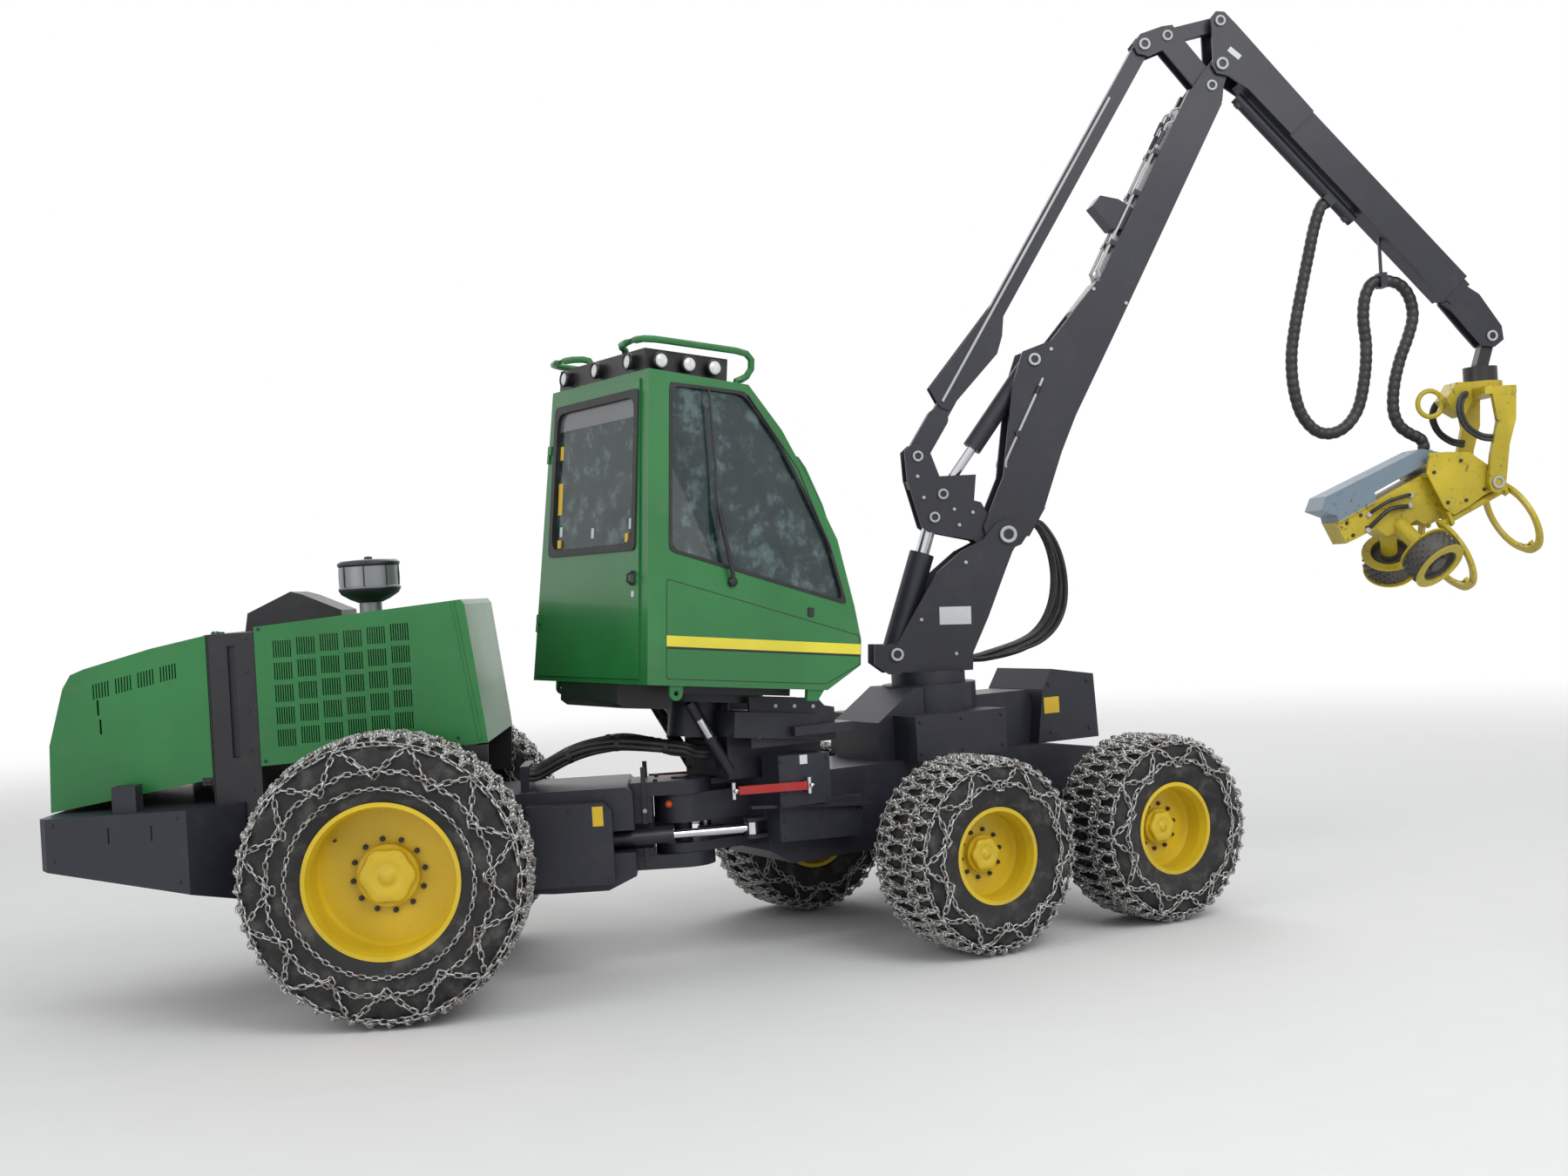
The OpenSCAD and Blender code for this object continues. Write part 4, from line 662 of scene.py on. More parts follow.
def corrugated(name, route, body, radius, count):
    """A wrapped hose: its radius falls and rises once for each turn of the wrap."""
    line = smooth_path([(x, 0, z) for x, z in route], count)
    run = np.linalg.norm(np.diff(line, axis=0), axis=1).sum()
    ridge = radius * (0.90 + 0.10 * np.abs(np.sin(np.linspace(0, np.pi * round(run / 0.055), count))))
    line = crane(line)
    made = add_tube(Mesher(), line, ridge, 14).piece(name, HOSE, body)
    return made, float(run)


hanging, long = corrugated("stick_hose_loop", STICK_ROUTE, "stick", 0.044, 420)
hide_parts("stick_hoses")
_, short = corrugated("head_hose_loop", HEAD_ROUTE, "stick", 0.044, 300)
print("hanging bundle lengths", round(long, 3), round(short, 3))

# %% [markdown]
# A forest tyre is a smooth casing with slanting lugs across its tread. Its section is one closed line of
# [radius, width] points, carried round the axle. A lug lifts the line's tread and shoulder where the angle,
# sheared by the distance from the middle, falls in the lug's share of each period.

# %% Tyres
# Columns: kind, side, place of the hub, outer radius, width, rim radius, lugs, body, node
WHEELS = [("rear", s, rear.inner((0, s * 1.12, 0.85)), 0.85, 0.59, 0.457, 24, f"rear_wheel_{n}",
           f"rear_tyre_{n}") for s, n in ((-1, "right"), (1, "left"))]
WHEELS += [("front", s, front.inner((x, s * 1.12, 0.63)), 0.63, 0.56, 0.308, 20, f"wheel_{n}_{i}",
            f"tyre_{n}_{i}") for s, n in ((-1, "right"), (1, "left")) for i, x in ((1, 1.52), (2, 3.0))]
CHAIN_H, LUG_RISE = 0.034, 0.028


def tyre_section(outer, width, rim):
    """The casing's outer line from bead to bead, with the lug's share of each point."""
    tread, half = outer - CHAIN_H, width / 2
    wall = tread - rim
    knots = [(rim + 0.001, -0.86), (rim + 0.08 * wall, -0.90), (rim + 0.30 * wall, -0.985),
             (rim + 0.55 * wall, -1.0), (rim + 0.78 * wall, -0.97), (tread - 0.055, -0.90),
             (tread - 0.034, -0.80), (tread - 0.030, -0.5), (tread - LUG_RISE, 0)]
    knots += [(r, -y) for r, y in knots[-2::-1]]
    line = smooth_path([(r, y * half, 0) for r, y in knots], 51)[:, :2]
    share = np.clip((line[:, 0] - (rim + 0.70 * wall)) / (0.16 * wall), 0, 1)
    return line, share


def tyre(kind, side, place, outer, width, rim, lugs, body, node):
    line, share = tyre_section(outer, width, rim)
    turn = np.linspace(0, 2 * np.pi, lugs * 16, endpoint=False)[:, None]
    y = line[:, 1][None, :]
    phase = (lugs * turn / (2 * np.pi) + 0.9 * np.abs(y) / width + 0.5 * (y > 0)) % 1
    rise = np.clip((0.27 - np.abs(phase - 0.5)) / 0.05, 0, 1) * (np.abs(y) > 0.03)
    r = line[:, 0][None, :] + LUG_RISE * rise * share[None, :]
    p = np.stack([r * np.sin(turn), np.broadcast_to(y, r.shape), -r * np.cos(turn)], -1)
    made = Mesher().grid(place(p), wrap_u=True, wrap_v=True).piece("cover_" + node, TYRE, body)
    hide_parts(node)


for wheel in WHEELS:
    tyre(*wheel)

# %% [markdown]
# Each tyre wears a net of forged chain: two zigzags that cross over the tread, garlands down the outer and
# inner walls and a ring that ties them. A line of chain is first drawn on the unrolled tyre, as turns and
# distances along the section. It is then laid on the rubber and cut into equal steps, and a link stands at
# each step, every second one on its edge. A link is a closed loop of few faces, because there are thousands.

# %% Chain links
def link_shape(pitch, wire):
    """A long loop: two half circles joined by straights, as a tube of three sides."""
    half, r = pitch * 0.36, pitch * 0.30
    a = np.radians([-80, 0, 80, 100, 180, 260])
    x = np.where(np.arange(6) < 3, half, -half) + r * np.cos(a)
    line = np.stack([x, r * 1.05 * np.sin(a), 0 * x], -1)
    out = np.cross(unit(np.roll(line, -1, 0) - np.roll(line, 1, 0)), [0, 0, 1.0])
    b = np.radians([90, 210, 330])[None, :, None]
    return line[:, None] + wire * (np.cos(b) * out[:, None] + np.sin(b) * np.array([0, 0, 1.0]))


def on_tyre(line, turn, s, lift):
    """Points and outward normals on the section turned about the axle: s is the distance along it."""
    run = run_along(line)
    slope = np.gradient(line, run, axis=0)
    r, y = np.interp(s, run, line[:, 0]), np.interp(s, run, line[:, 1])
    nr, ny = np.interp(s, run, slope[:, 1]), np.interp(s, run, -slope[:, 0])
    size = np.hypot(nr, ny)
    nr, ny = nr / size, ny / size
    r, y = r + lift * nr, y + lift * ny
    p = np.stack([r * np.sin(turn), y, -r * np.cos(turn)], -1)
    return p, np.stack([nr * np.sin(turn), ny, -nr * np.cos(turn)], -1)


def lay_links(m, line, corners, lift, pitch, wire, place, base=0):
    """Links along a line whose corners are [turn, s] pairs: even steps, every second link on edge."""
    corners = np.asarray(corners, float)
    k = np.linspace(0, len(corners) - 1, 60 * (len(corners) - 1) + 1)
    turn, s = (np.interp(k, np.arange(len(corners)), corners[:, i]) for i in (0, 1))
    p, _ = on_tyre(line, turn, s, lift)
    run = run_along(p)
    n = max(int(round(run[-1] / pitch)), 2)
    at = (np.arange(n) + 0.5) * run[-1] / n
    c, up = on_tyre(line, np.interp(at, run, turn), np.interp(at, run, s), lift)
    before, after = (np.stack([np.interp(at + d, run, p[:, i]) for i in range(3)], -1)
                     for d in (-pitch / 2, pitch / 2))
    ahead = unit(after - before)
    side = unit(np.cross(up, ahead))
    up = np.cross(ahead, side)
    even = (np.arange(n) + base)[:, None] % 2 == 0
    lean = np.radians(18) * np.sin(2.3 * np.arange(n))[:, None]
    across = np.where(even, side, up)
    flat = np.where(even, up, -side)
    across, flat = np.cos(lean) * across + np.sin(lean) * flat, np.cos(lean) * flat - np.sin(lean) * across
    shape = link_shape(pitch, wire)[None]
    turned = (shape[..., k:k + 1] * axis[:, None, None] for k, axis in enumerate((ahead, across, flat)))
    m.copies(place(c[:, None, None] + sum(turned)), True, True)
    return c, up


def studs(m, c, up, size, height, place):
    """Six-sided pegs that stand on the net, each a ring at its foot, a smaller one on top and a point."""
    ahead = np.cross(up, [0, 1.0, 0])
    side = np.cross(up, ahead)
    a = np.linspace(0, 2 * np.pi, 6, endpoint=False)[None, :, None]
    around = np.cos(a) * ahead[:, None] + np.sin(a) * side[:, None]
    rings = [c[:, None] + h * up[:, None] + r * around
             for r, h in ((size, -0.004), (size * 0.8, height), (1e-4, height + 0.001))]
    m.copies(place(np.stack(rings, 1)), False, True)


LINK_PITCH, WIRE, LIFT = 0.046, 0.0063, 0.013
STUD_R, STUD_SINK = 0.0085, 0.016


def tyre_chain(kind, place, outer, width, rim, body, node):
    """The whole net of one tyre: a period is one diamond of the tread's zigzags."""
    line, _ = tyre_section(outer, width, rim)
    run = run_along(line)
    tread = outer - CHAIN_H
    stud_h = outer - tread - STUD_SINK
    periods = 12 if kind == "rear" else 10
    far = run[-1]
    middle = len(line) // 2
    r_at = lambda r: float(np.interp(r, line[:middle, 0], run[:middle]))
    shoulder = r_at(tread - 0.045)
    ring, garland = (r_at(rim + share * (tread - rim)) for share in (0.52, 0.40))
    step = 2 * np.pi / periods
    m = Mesher()

    def zigzag(parts, one, other):
        """Corners that change between two distances, with so many parts to a period."""
        return [(i * step / parts, other if i % 2 else one) for i in range(parts * periods + 1)]

    for k, ends in enumerate(((far - shoulder, shoulder), (shoulder, far - shoulder))):
        c, up = lay_links(m, line, zigzag(4, *ends), LUG_RISE + LIFT, LINK_PITCH, WIRE, place, k)
        studs(m, c[::2], up[::2], STUD_R, stud_h, place)
    for mid in (run[middle] - 0.11, run[middle] + 0.11):
        c, up = lay_links(m, line, zigzag(8, mid + 0.03, mid - 0.03), LUG_RISE + LIFT, LINK_PITCH, WIRE,
                          place)
        studs(m, c[::3], up[::3], STUD_R, stud_h, place)
    for to in (lambda s: s, lambda s: far - s):
        lay_links(m, line, zigzag(2, to(garland), to(shoulder)), LIFT + 0.006, LINK_PITCH, WIRE, place)
        lay_links(m, line, zigzag(4, to(ring + 0.008), to(ring - 0.008)), LIFT, LINK_PITCH * 0.9, WIRE,
                  place, 1)
        lay_links(m, line, zigzag(4, to(shoulder), to(shoulder)), LIFT + 0.014, LINK_PITCH, WIRE, place)
    if kind == "rear":
        foot = r_at(rim + 0.24 * (tread - rim))
        lay_links(m, line, zigzag(2, foot, foot), LIFT, LINK_PITCH * 0.8, WIRE * 0.8, place)
    made = m.piece("chain_" + node, CHAIN, body)


for kind, side, place, outer, width, rim, _, body, node in WHEELS:
    tyre_chain(kind, place if side < 0 else place.inner(axes=turn_z(180)), outer, width, rim, body, node)

# %% [markdown]
# The rims are bolted to their hubs through a ring of nuts, and the planetary hub shows in the middle as a cap
# with scallops. The cap is a turned shape whose radius swells six times on its way round.

# %% Wheel nuts and hub caps
def hub_cap(m, centre, radius, height, place):
    """Radius times one plus a small cosine of six times the angle, with rounded edges in height."""
    a = np.linspace(0, 2 * np.pi, 72, endpoint=False)
    rows = []
    for share, h in ((1.0, 0), (1.0, 0.7), (0.93, 0.97), (0.55, 1.0), (0.50, 0.86), (0.30, 0.86),
                     (0.26, 1.12), (1e-4, 1.14)):
        r = radius * share * (1 + (0.055 * np.cos(6 * a) if share > 0.6 else 0))
        y = np.full(len(a), centre[1] - h * height)
        rows.append(np.stack([centre[0] + r * np.cos(a), y, centre[2] + r * np.sin(a)], -1))
    m.grid(place(np.array(rows)), wrap_v=True)


# Columns: depth of the dish, radius of the nut ring, nuts, nut radius, radius and reach of the cap
HUBS = {"rear": (0.300, 0.2125, 12, 0.017, 0.160, 0.060), "front": (0.200, 0.152, 10, 0.014, 0.102, 0.045)}
for kind, side, place, outer, width, rim, lugs, body, node in WHEELS:
    place = place if side < 0 else place.inner(axes=turn_z(180))
    dish, ring, count, r, cap_r, cap_h = HUBS[kind]
    disc = -width / 2 * 0.86 + dish
    a = np.linspace(0, 2 * np.pi, count, endpoint=False) + 0.13
    m = Mesher()
    add_bolts(m, np.stack([ring * np.cos(a), np.full(count, disc), ring * np.sin(a)], -1), (0, -1, 0), r,
              0.020, place)
    add_turned(m, [(0.006, 0), (0.006, 0.03), (0.009, 0.032), (0.009, 0.05), (1e-4, 0.052)],
               place([(-0.30 * rim / 0.457, disc, 0.22 * rim / 0.457)])[0], np.array([0, -1.0, 0])
               @ place.axes, 8)
    m.piece("nuts_" + node, CHARCOAL, body, smooth=False)
    m = Mesher()
    hub_cap(m, (0, disc - cap_h, 0), cap_r, 0.034, place)
    m.piece("cap_" + node, RIM_YELLOW, body)

# %% [markdown]
# Window seals, panel seams and bands are outlines with rounded corners. An outline is rounded by a curve at
# each corner, grown or shrunk by moving its edges along their normals, and a flat ring between two such
# outlines with the same number of points makes a seal that hides the pane's square corners.

# %% Outlines and rings
def grown(outline, d):
    """Corners moved out by d from both their edges: d times the normals' sum over one plus their product."""
    o = np.asarray(outline, float)
    area = np.sum(o[:, 0] * np.roll(o[:, 1], -1) - np.roll(o[:, 0], -1) * o[:, 1])
    e = unit(np.roll(o, -1, 0) - o)
    n = np.column_stack([e[:, 1], -e[:, 0]]) * np.sign(area)
    before = np.roll(n, 1, 0)
    return o + d * (n + before) / (1 + np.sum(n * before, 1))[:, None]


def rounded(outline, r, n=5):
    """Each corner as a quadratic curve between points a distance r before and after it."""
    o = np.asarray(outline, float)
    back, ahead = np.roll(o, 1, 0) - o, np.roll(o, -1, 0) - o
    lb, la = np.linalg.norm(back, axis=1, keepdims=True), np.linalg.norm(ahead, axis=1, keepdims=True)
    a, c = o + back / lb * np.minimum(r, 0.45 * lb), o + ahead / la * np.minimum(r, 0.45 * la)
    t = np.linspace(0, 1, n)[None, :, None]
    return ((1 - t)**2 * a[:, None] + 2 * t * (1 - t) * o[:, None] + t**2 * c[:, None]).reshape(-1, 2)


def add_ring(m, outer, inner, low, high, to_space):
    """A flat ring between two outlines, from depth low to depth high."""
    rows = [to_space(line, depth) for line, depth in ((outer, low), (inner, low), (inner, high),
                                                      (outer, high))]
    m.grid(np.stack(rows), wrap_u=True, wrap_v=True)


def add_plate(m, outline, low, high, to_space):
    """A flat plate inside an outline, with a small bevel on its outer face at depth low."""
    top, foot = grown(outline, -0.0015), np.asarray(outline, float)
    rows = np.stack([to_space(top, low), to_space(foot, low + 0.3 * (high - low)), to_space(foot, high)])
    m.grid(rows, wrap_v=True)
    m.cap(rows[0], rows[0].mean(0) - rows[2].mean(0))
    m.cap(rows[2], rows[2].mean(0) - rows[0].mean(0))


def box_outline(x0, z0, x1, z1, r=0.0):
    o = [(x0, z0), (x1, z0), (x1, z1), (x0, z1)]
    return rounded(o, r, 4) if r else np.array(o)


def on_side(place, sign=1):
    """Outline points of a place's x and z, laid at a depth of y: sign -1 looks from the left."""
    return lambda o, depth: place(np.column_stack([o[:, 0], np.full(len(o), sign * depth), o[:, 1]]))


def on_back(place):
    """Outline points of a place's y and z, laid at a depth of x."""
    return lambda o, depth: place(np.column_stack([np.full(len(o), depth), o[:, 0], o[:, 1]]))


print("outlines, rings and plates ready")

# %% [markdown]
# The hood and cover carry little: rubber strips in the seams, toggle latches at the hood's lower corners,
# flush bolts along the cover, a dark panel under its front end, and the bands of the air cleaner's bowl.

# %% Hood, cover and bowl
m, panels = Mesher(), Mesher()
for s in (-1, 1):
    side = on_side(rear, -s)
    add_plate(m, box_outline(-1.150, 1.404, -1.088, 1.452, 0.008), -0.7205, -0.712, side)
    add_tube(m, rear([(-1.135, s * 0.724, 1.428), (-1.118, s * 0.734, 1.428), (-1.090, s * 0.734, 1.430)]),
             0.006, 8)
    add_plate(panels, [(0.20, 1.262), (0.560, 1.262), (0.575, 1.552), (0.20, 1.528)], -0.716, -0.690, side)
m.piece("cover_latches", BLACK, "hood", smooth=False)
panels.piece("cover_panels", BLACK, "rear_frame", smooth=False)

m = Mesher()
for s in (-1, 1):
    for x, z0, z1, r in ((-1.078, 1.300, 2.300, 0.005), (-0.797, 1.500, 2.325, 0.004)):
        add_tube(m, rear([(x, s * 0.7130, z0), (x, s * 0.7130, z1)]), r, 6)
m.piece("seam_rubber", SEAL, "rear_frame")

m = Mesher()
for s in (-1, 1):
    add_bolts(m, [(x, s * 0.722, z) for x, z in ((-0.765, 1.53), (-0.765, 2.33), (0.40, 1.60), (-0.2, 1.56))],
              (0, s, 0), 0.010, 0.005, rear)
    side_bolts(m, s, (-0.85,), 0.7125, (1.36, 1.60, 1.84, 2.08, 2.28), 0.011, 0.006)
    add_bolts(m, [(x, s * 1.000, z) for x, z in ((-1.96, 1.25), (-1.96, 1.04), (-1.24, 1.25), (-1.24, 0.87))],
              (0, s, 0), 0.012, 0.008, rear)
m.piece("cover_bolts", CHARCOAL, "rear_frame", smooth=False)

BOWL = rear([(-0.165, -0.250, 0)])[0]
m = Mesher()
add_turned(m, [(0.075, 2.455), (0.124, 2.4765), (0.178, 2.510), (0.1935, 2.538), (0.1945, 2.546),
               (0.178, 2.550)], BOWL, (0, 0, 1), 48)
add_turned(m, [(0.187, 2.683), (0.1935, 2.690), (0.1945, 2.699), (0.193, 2.708), (0.183, 2.713),
               (0.171, 2.7205), (1e-4, 2.7295)], BOWL, (0, 0, 1), 48)
a = np.linspace(0, 2 * np.pi, 9)[:-1]
for x, y in zip(np.cos(a), np.sin(a)):
    add_tube(m, BOWL + [(0.186 * x, 0.186 * y, 2.556), (0.188 * x, 0.188 * y, 2.62),
                        (0.186 * x, 0.186 * y, 2.682)], 0.004, 6)
add_turned(m, [(0.010, 2.725), (0.026, 2.729), (0.026, 2.742), (0.010, 2.746), (1e-4, 2.747)], BOWL,
           (0, 0, 1), 12)
m.piece("bowl_bands", BLACK, "rear_frame")

# %% [markdown]
# The cab's side walls lean inwards, so each has its own place, whose zero depth is the wall's outer face.
# Black rubber frames hold the panes, a yellow stripe runs along the lower panel, and the panel's edges show
# as dark seams.

# %% Cab walls and seals
WALL_LEAN = math.atan2(0.800 - 0.672, 1.920)
wall_c, wall_s = math.cos(WALL_LEAN), math.sin(WALL_LEAN)
walls = {
    "right": cab.inner((0, -0.8, 0), [[1, 0, 0], [0, wall_c, -wall_s], [0, wall_s, wall_c]]),
    "left": cab.inner((0, 0.8, 0), [[1, 0, 0], [0, wall_c, wall_s], [0, -wall_s, wall_c]]),
}
SIDE_WINDOW = [(0.150, 0.820), (0.150, 1.850), (0.680, 1.850), (0.912, 1.590), (1.118, 1.272),
               (1.312, 0.940), (1.440, 0.560)]
PANEL = [(0.130, 0.645), (1.545, 0.358), (1.548, 0.172), (1.285, 0.040), (0.130, 0.040)]
seals, trim, stripes, black_bits = Mesher(), Mesher(), Mesher(), Mesher()
for name, wall in walls.items():
    to_wall = on_side(wall, 1 if name == "right" else -1)
    add_ring(seals, rounded(grown(SIDE_WINDOW, 0.007), 0.040), rounded(grown(SIDE_WINDOW, -0.014), 0.060),
             -0.005, 0.0176, to_wall)
    add_ring(trim, rounded(grown(PANEL, 0.0025), 0.02), rounded(grown(PANEL, -0.0025), 0.02), -0.0008, 0.001,
             to_wall)
    add_plate(trim, [(0.130, 0.222), (1.552, 0.222), (1.553, 0.237), (0.130, 0.237)], -0.0012, 0.001, to_wall)
    add_plate(stripes, [(0.130, 0.236), (1.553, 0.236), (1.555, 0.302), (0.130, 0.302)], -0.0016, 0.001,
              to_wall)
    add_plate(black_bits, box_outline(1.148, 0.462, 1.192, 0.520, 0.008), -0.010, 0.001, to_wall)
    side = -1 if name == "right" else 1
    wiper = wall([(0.585, side * 0.030, 0.650), (0.560, side * 0.042, 0.74), (0.470, side * 0.040, 1.10)])
    add_tube(black_bits, wiper, 0.014, 8)
    add_tube(black_bits, wall([(0.475, side * 0.028, 0.90), (0.452, side * 0.028, 1.36),
                               (0.405, side * 0.028, 1.84)]), 0.009, 6)
    add_tube(black_bits, wall([(0.470, side * 0.040, 1.10), (0.462, side * 0.028, 1.22)]), 0.007, 6)
    add_turned(black_bits, [(0.030, -0.002), (0.030, 0.024), (0.022, 0.040), (1e-4, 0.042)],
               wall([(0.585, 0, 0.650)])[0], np.array([0, side, 0]) @ wall.axes, 16)
    add_tube(black_bits, wall([(0.700, side * 0.010, 1.835), (1.065, side * 0.022, 1.3975),
                               (1.330, side * 0.010, 0.880)]), 0.004, 6)
SCREEN = np.array([(-0.560, 0.420), (-0.520, 1.820), (0.520, 1.820), (0.560, 0.420)])
FRONT_LINE = np.array([(0.710, 1.900), (0.960, 1.635), (1.180, 1.306), (1.380, 0.965), (1.510, 0.542),
                       (1.560, 0.331)])[::-1]


def on_screen(points):
    """Points of [y, z] put on the bent front by reading x from its line of heights."""
    return cab(np.column_stack([np.interp(points[:, 1], FRONT_LINE[:, 1], FRONT_LINE[:, 0]), points]))


edge = rounded(SCREEN, 0.06)
edge = np.concatenate([a + (b - a) * np.linspace(0, 1, 9, endpoint=False)[:, None]
                       for a, b in zip(edge, np.roll(edge, -1, 0))])
add_tube(seals, on_screen(edge[np.linalg.norm(edge - np.roll(edge, 1, 0), axis=1) > 1e-4]), 0.015, 8,
         closed=True)
for s in (-1, 1):
    add_block(black_bits, (0.300, min(s * 0.590, s * 0.602), -0.045),
              (1.140, max(s * 0.590, s * 0.602), 0.001), cab)
seals.piece("cab_seals", SEAL, "cab", smooth=False)
trim.piece("cab_seams", SEAL, "cab", smooth=False)
stripes.piece("cab_stripes", STRIPE, "cab", smooth=False)
black_bits.piece("cab_wipers", BLACK, "cab")

# %% [markdown]
# The rear face of the cab is the door. Its window has a broad black frame with round corners, a grey sun band
# along the top and small yellow catches below. The handle is a black grip in front of a pressed plate.

# %% Door
REAR_WINDOW = [(-0.590, 0.830), (0.590, 0.830), (0.565, 1.790), (-0.565, 1.790)]
m = Mesher()
add_ring(m, rounded(grown(REAR_WINDOW, 0.018), 0.05), rounded(grown(REAR_WINDOW, -0.030), 0.09), -0.022,
         0.0035, on_back(cab))
m.piece("door_seal", SEAL, "door", smooth=False)
m = Mesher()
add_plate(m, [(-0.540, 1.640), (0.540, 1.640), (0.538, 1.762), (-0.538, 1.762)], 0.0015, 0.0038, on_back(cab))
m.piece("door_sun_band", paint("sun band", (0.10, 0.105, 0.11), 0.25, 0.05, 0, 0.4), "door", smooth=False)
m = Mesher()
for y in (-0.475, 0.475):
    add_plate(m, box_outline(y - 0.018, 0.868, y + 0.018, 0.925, 0.006), -0.010, 0.0035, on_back(cab))
for z0, z1, half in ((1.090, 1.300, 0.030), (1.455, 1.545, 0.022)):
    add_plate(m, box_outline(0.498 - half, z0, 0.498 + half, z1, 0.004), 0.0016, 0.0038, on_back(cab))
m.piece("door_catches", PLATE_YELLOW, "door", smooth=False)
m = Mesher()
add_plate(m, box_outline(-0.618, 0.600, -0.562, 0.690, 0.012), -0.022, -0.0125, on_back(cab))
add_tube(m, cab([(-0.022, -0.590, 0.605), (-0.050, -0.590, 0.622), (-0.052, -0.590, 0.662),
                 (-0.022, -0.590, 0.684)]), 0.008, 8)
m.piece("door_handle", BLACK, "door")
m = Mesher()
add_plate(m, box_outline(-0.606, 0.530, -0.574, 0.566, 0.003), -0.0145, -0.0122, on_back(cab))
for y, z in ((0.470, 0.945), (0.010, 0.915), (-0.500, 0.950)):
    add_plate(m, box_outline(y - 0.018, z, y + 0.018, z + 0.065, 0.003), 0.0016, 0.0038, on_back(cab))
m.piece("door_plate", WHITE, "door", smooth=False)

# %% [markdown]
# Thirteen work lamps look out from the roof's black panels. A lamp is a rim ring round a bulging lens, both
# turned shapes, and the lens has a fine cut pattern in its material.

# %% Work lamps
LAMP_Z = 1.985
lamps = [((x, s * 0.635, LAMP_Z), (0, s, 0)) for x in (0.103, 0.300, 0.483) for s in (-1, 1)]
lamps += [((-0.028, y, LAMP_Z), (-1, 0, 0)) for y in (-0.444, 0, 0.444)]
lamps += [((0.640, y, LAMP_Z), (1, 0, 0)) for y in (-0.420, -0.140, 0.140, 0.420)]
lens, rims = Mesher(), Mesher()
for centre, axis in lamps:
    c, axis = cab([centre])[0], np.array(axis, float) @ cab.axes
    add_turned(rims, [(0.045, 0.0), (0.0455, 0.012), (0.049, 0.014), (0.0535, 0.010), (0.0545, -0.004),
                      (0.045, -0.030)], c, axis, 28)
    add_turned(lens, [(0.046, -0.001), (0.045, 0.004), (0.034, 0.010), (0.017, 0.014), (1e-4, 0.015)], c,
               axis, 28)
rims.piece("lamp_rims", BLACK, "cab")
lens.piece("lamp_lenses", LENS, "cab")

# %% [markdown]
# The seat is a cushion and a tall back rest with rolled edges, on a console with arm boxes. Each pad is a
# rounded box whose faces crown: a point on a sphere is pushed towards a cube by a power, then scaled, and its
# face bulges with the distance from the edges. It is small behind the panes, so no cloth is simulated.

# %% Seat
def pad(m, centre, size, place, lean=0.0, n=28, power=0.34, channels=False):
    """Superellipsoid: sines and cosines of two angles, each raised to a small power with its sign kept."""
    u = np.linspace(-np.pi / 2, np.pi / 2, n)[:, None]
    v = np.linspace(0, 2 * np.pi, 2 * n, endpoint=False)[None, :]
    sp = lambda x: np.sign(x) * np.abs(x)**power
    p = np.stack([sp(np.cos(u)) * sp(np.cos(v)), sp(np.cos(u)) * sp(np.sin(v)), sp(np.sin(u)) + 0 * v], -1)
    swell = 1 + 0.10 * (1 - p[..., 1]**2) * (1 - np.minimum(np.abs(p[..., 0]), 1)**2)
    crease = 1 - (0.05 * np.exp(-((np.abs(p[..., 1]) - 0.55) / 0.05)**2) if channels else 0)
    p = p * np.stack([np.ones_like(swell), np.ones_like(swell), swell * crease], -1) * np.array(size) / 2
    return m.grid(place.inner(centre, turn_y(lean))(p), wrap_v=True)


m = Mesher()
pad(m, (0.610, 0, 0.455), (0.50, 0.48, 0.13), cab, -4, channels=True)
cushion = m.piece("seat_cushion", CLOTH, "cab")
m = Mesher()
pad(m, (0.300, 0, 0.800), (0.68, 0.46, 0.13), cab, 82, channels=True)
back = m.piece("seat_back", CLOTH, "cab")
m = Mesher()
for s in (-1, 1):
    add_block(m, (0.420, s * 0.340 - 0.068, 0.046), (0.560, s * 0.340 + 0.068, 0.560), cab)
    pad(m, (0.610, s * 0.340, 0.600), (0.380, 0.130, 0.110), cab, power=0.3)
    add_turned(m, [(0.024, 0.0), (0.014, 0.03), (0.012, 0.07), (0.022, 0.085), (0.024, 0.12), (0.016, 0.135),
                   (1e-4, 0.138)], cab([(0.740, s * 0.340, 0.640)])[0], cab.axes[2], 14)
add_block(m, (0.440, -0.170, 0.046), (0.700, 0.170, 0.385), cab)
add_tube(m, cab([(1.05, -0.40, 0.50), (1.10, -0.43, 0.66), (1.10, -0.44, 0.78)]), 0.014, 8)
add_plate(m, box_outline(0.960, 0.760, 1.180, 0.930, 0.01), -0.455, -0.425, on_side(cab))
m.piece("cab_consoles", BLACK, "cab", smooth=False, bevel=0.004)
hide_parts("cab_seat")

# %% [markdown]
# Small things sit along the machine's sides: the red bar that locks the joint for transport, the ledge of the
# step, bolts round the panels and plates without words. Each is a thin prism, a short tube or a turned head
# that stands on the face behind it, so blocks and six-sided bolts are enough. Dark blocks close the joint's
# gaps, and they leave room there for the steering cylinders.

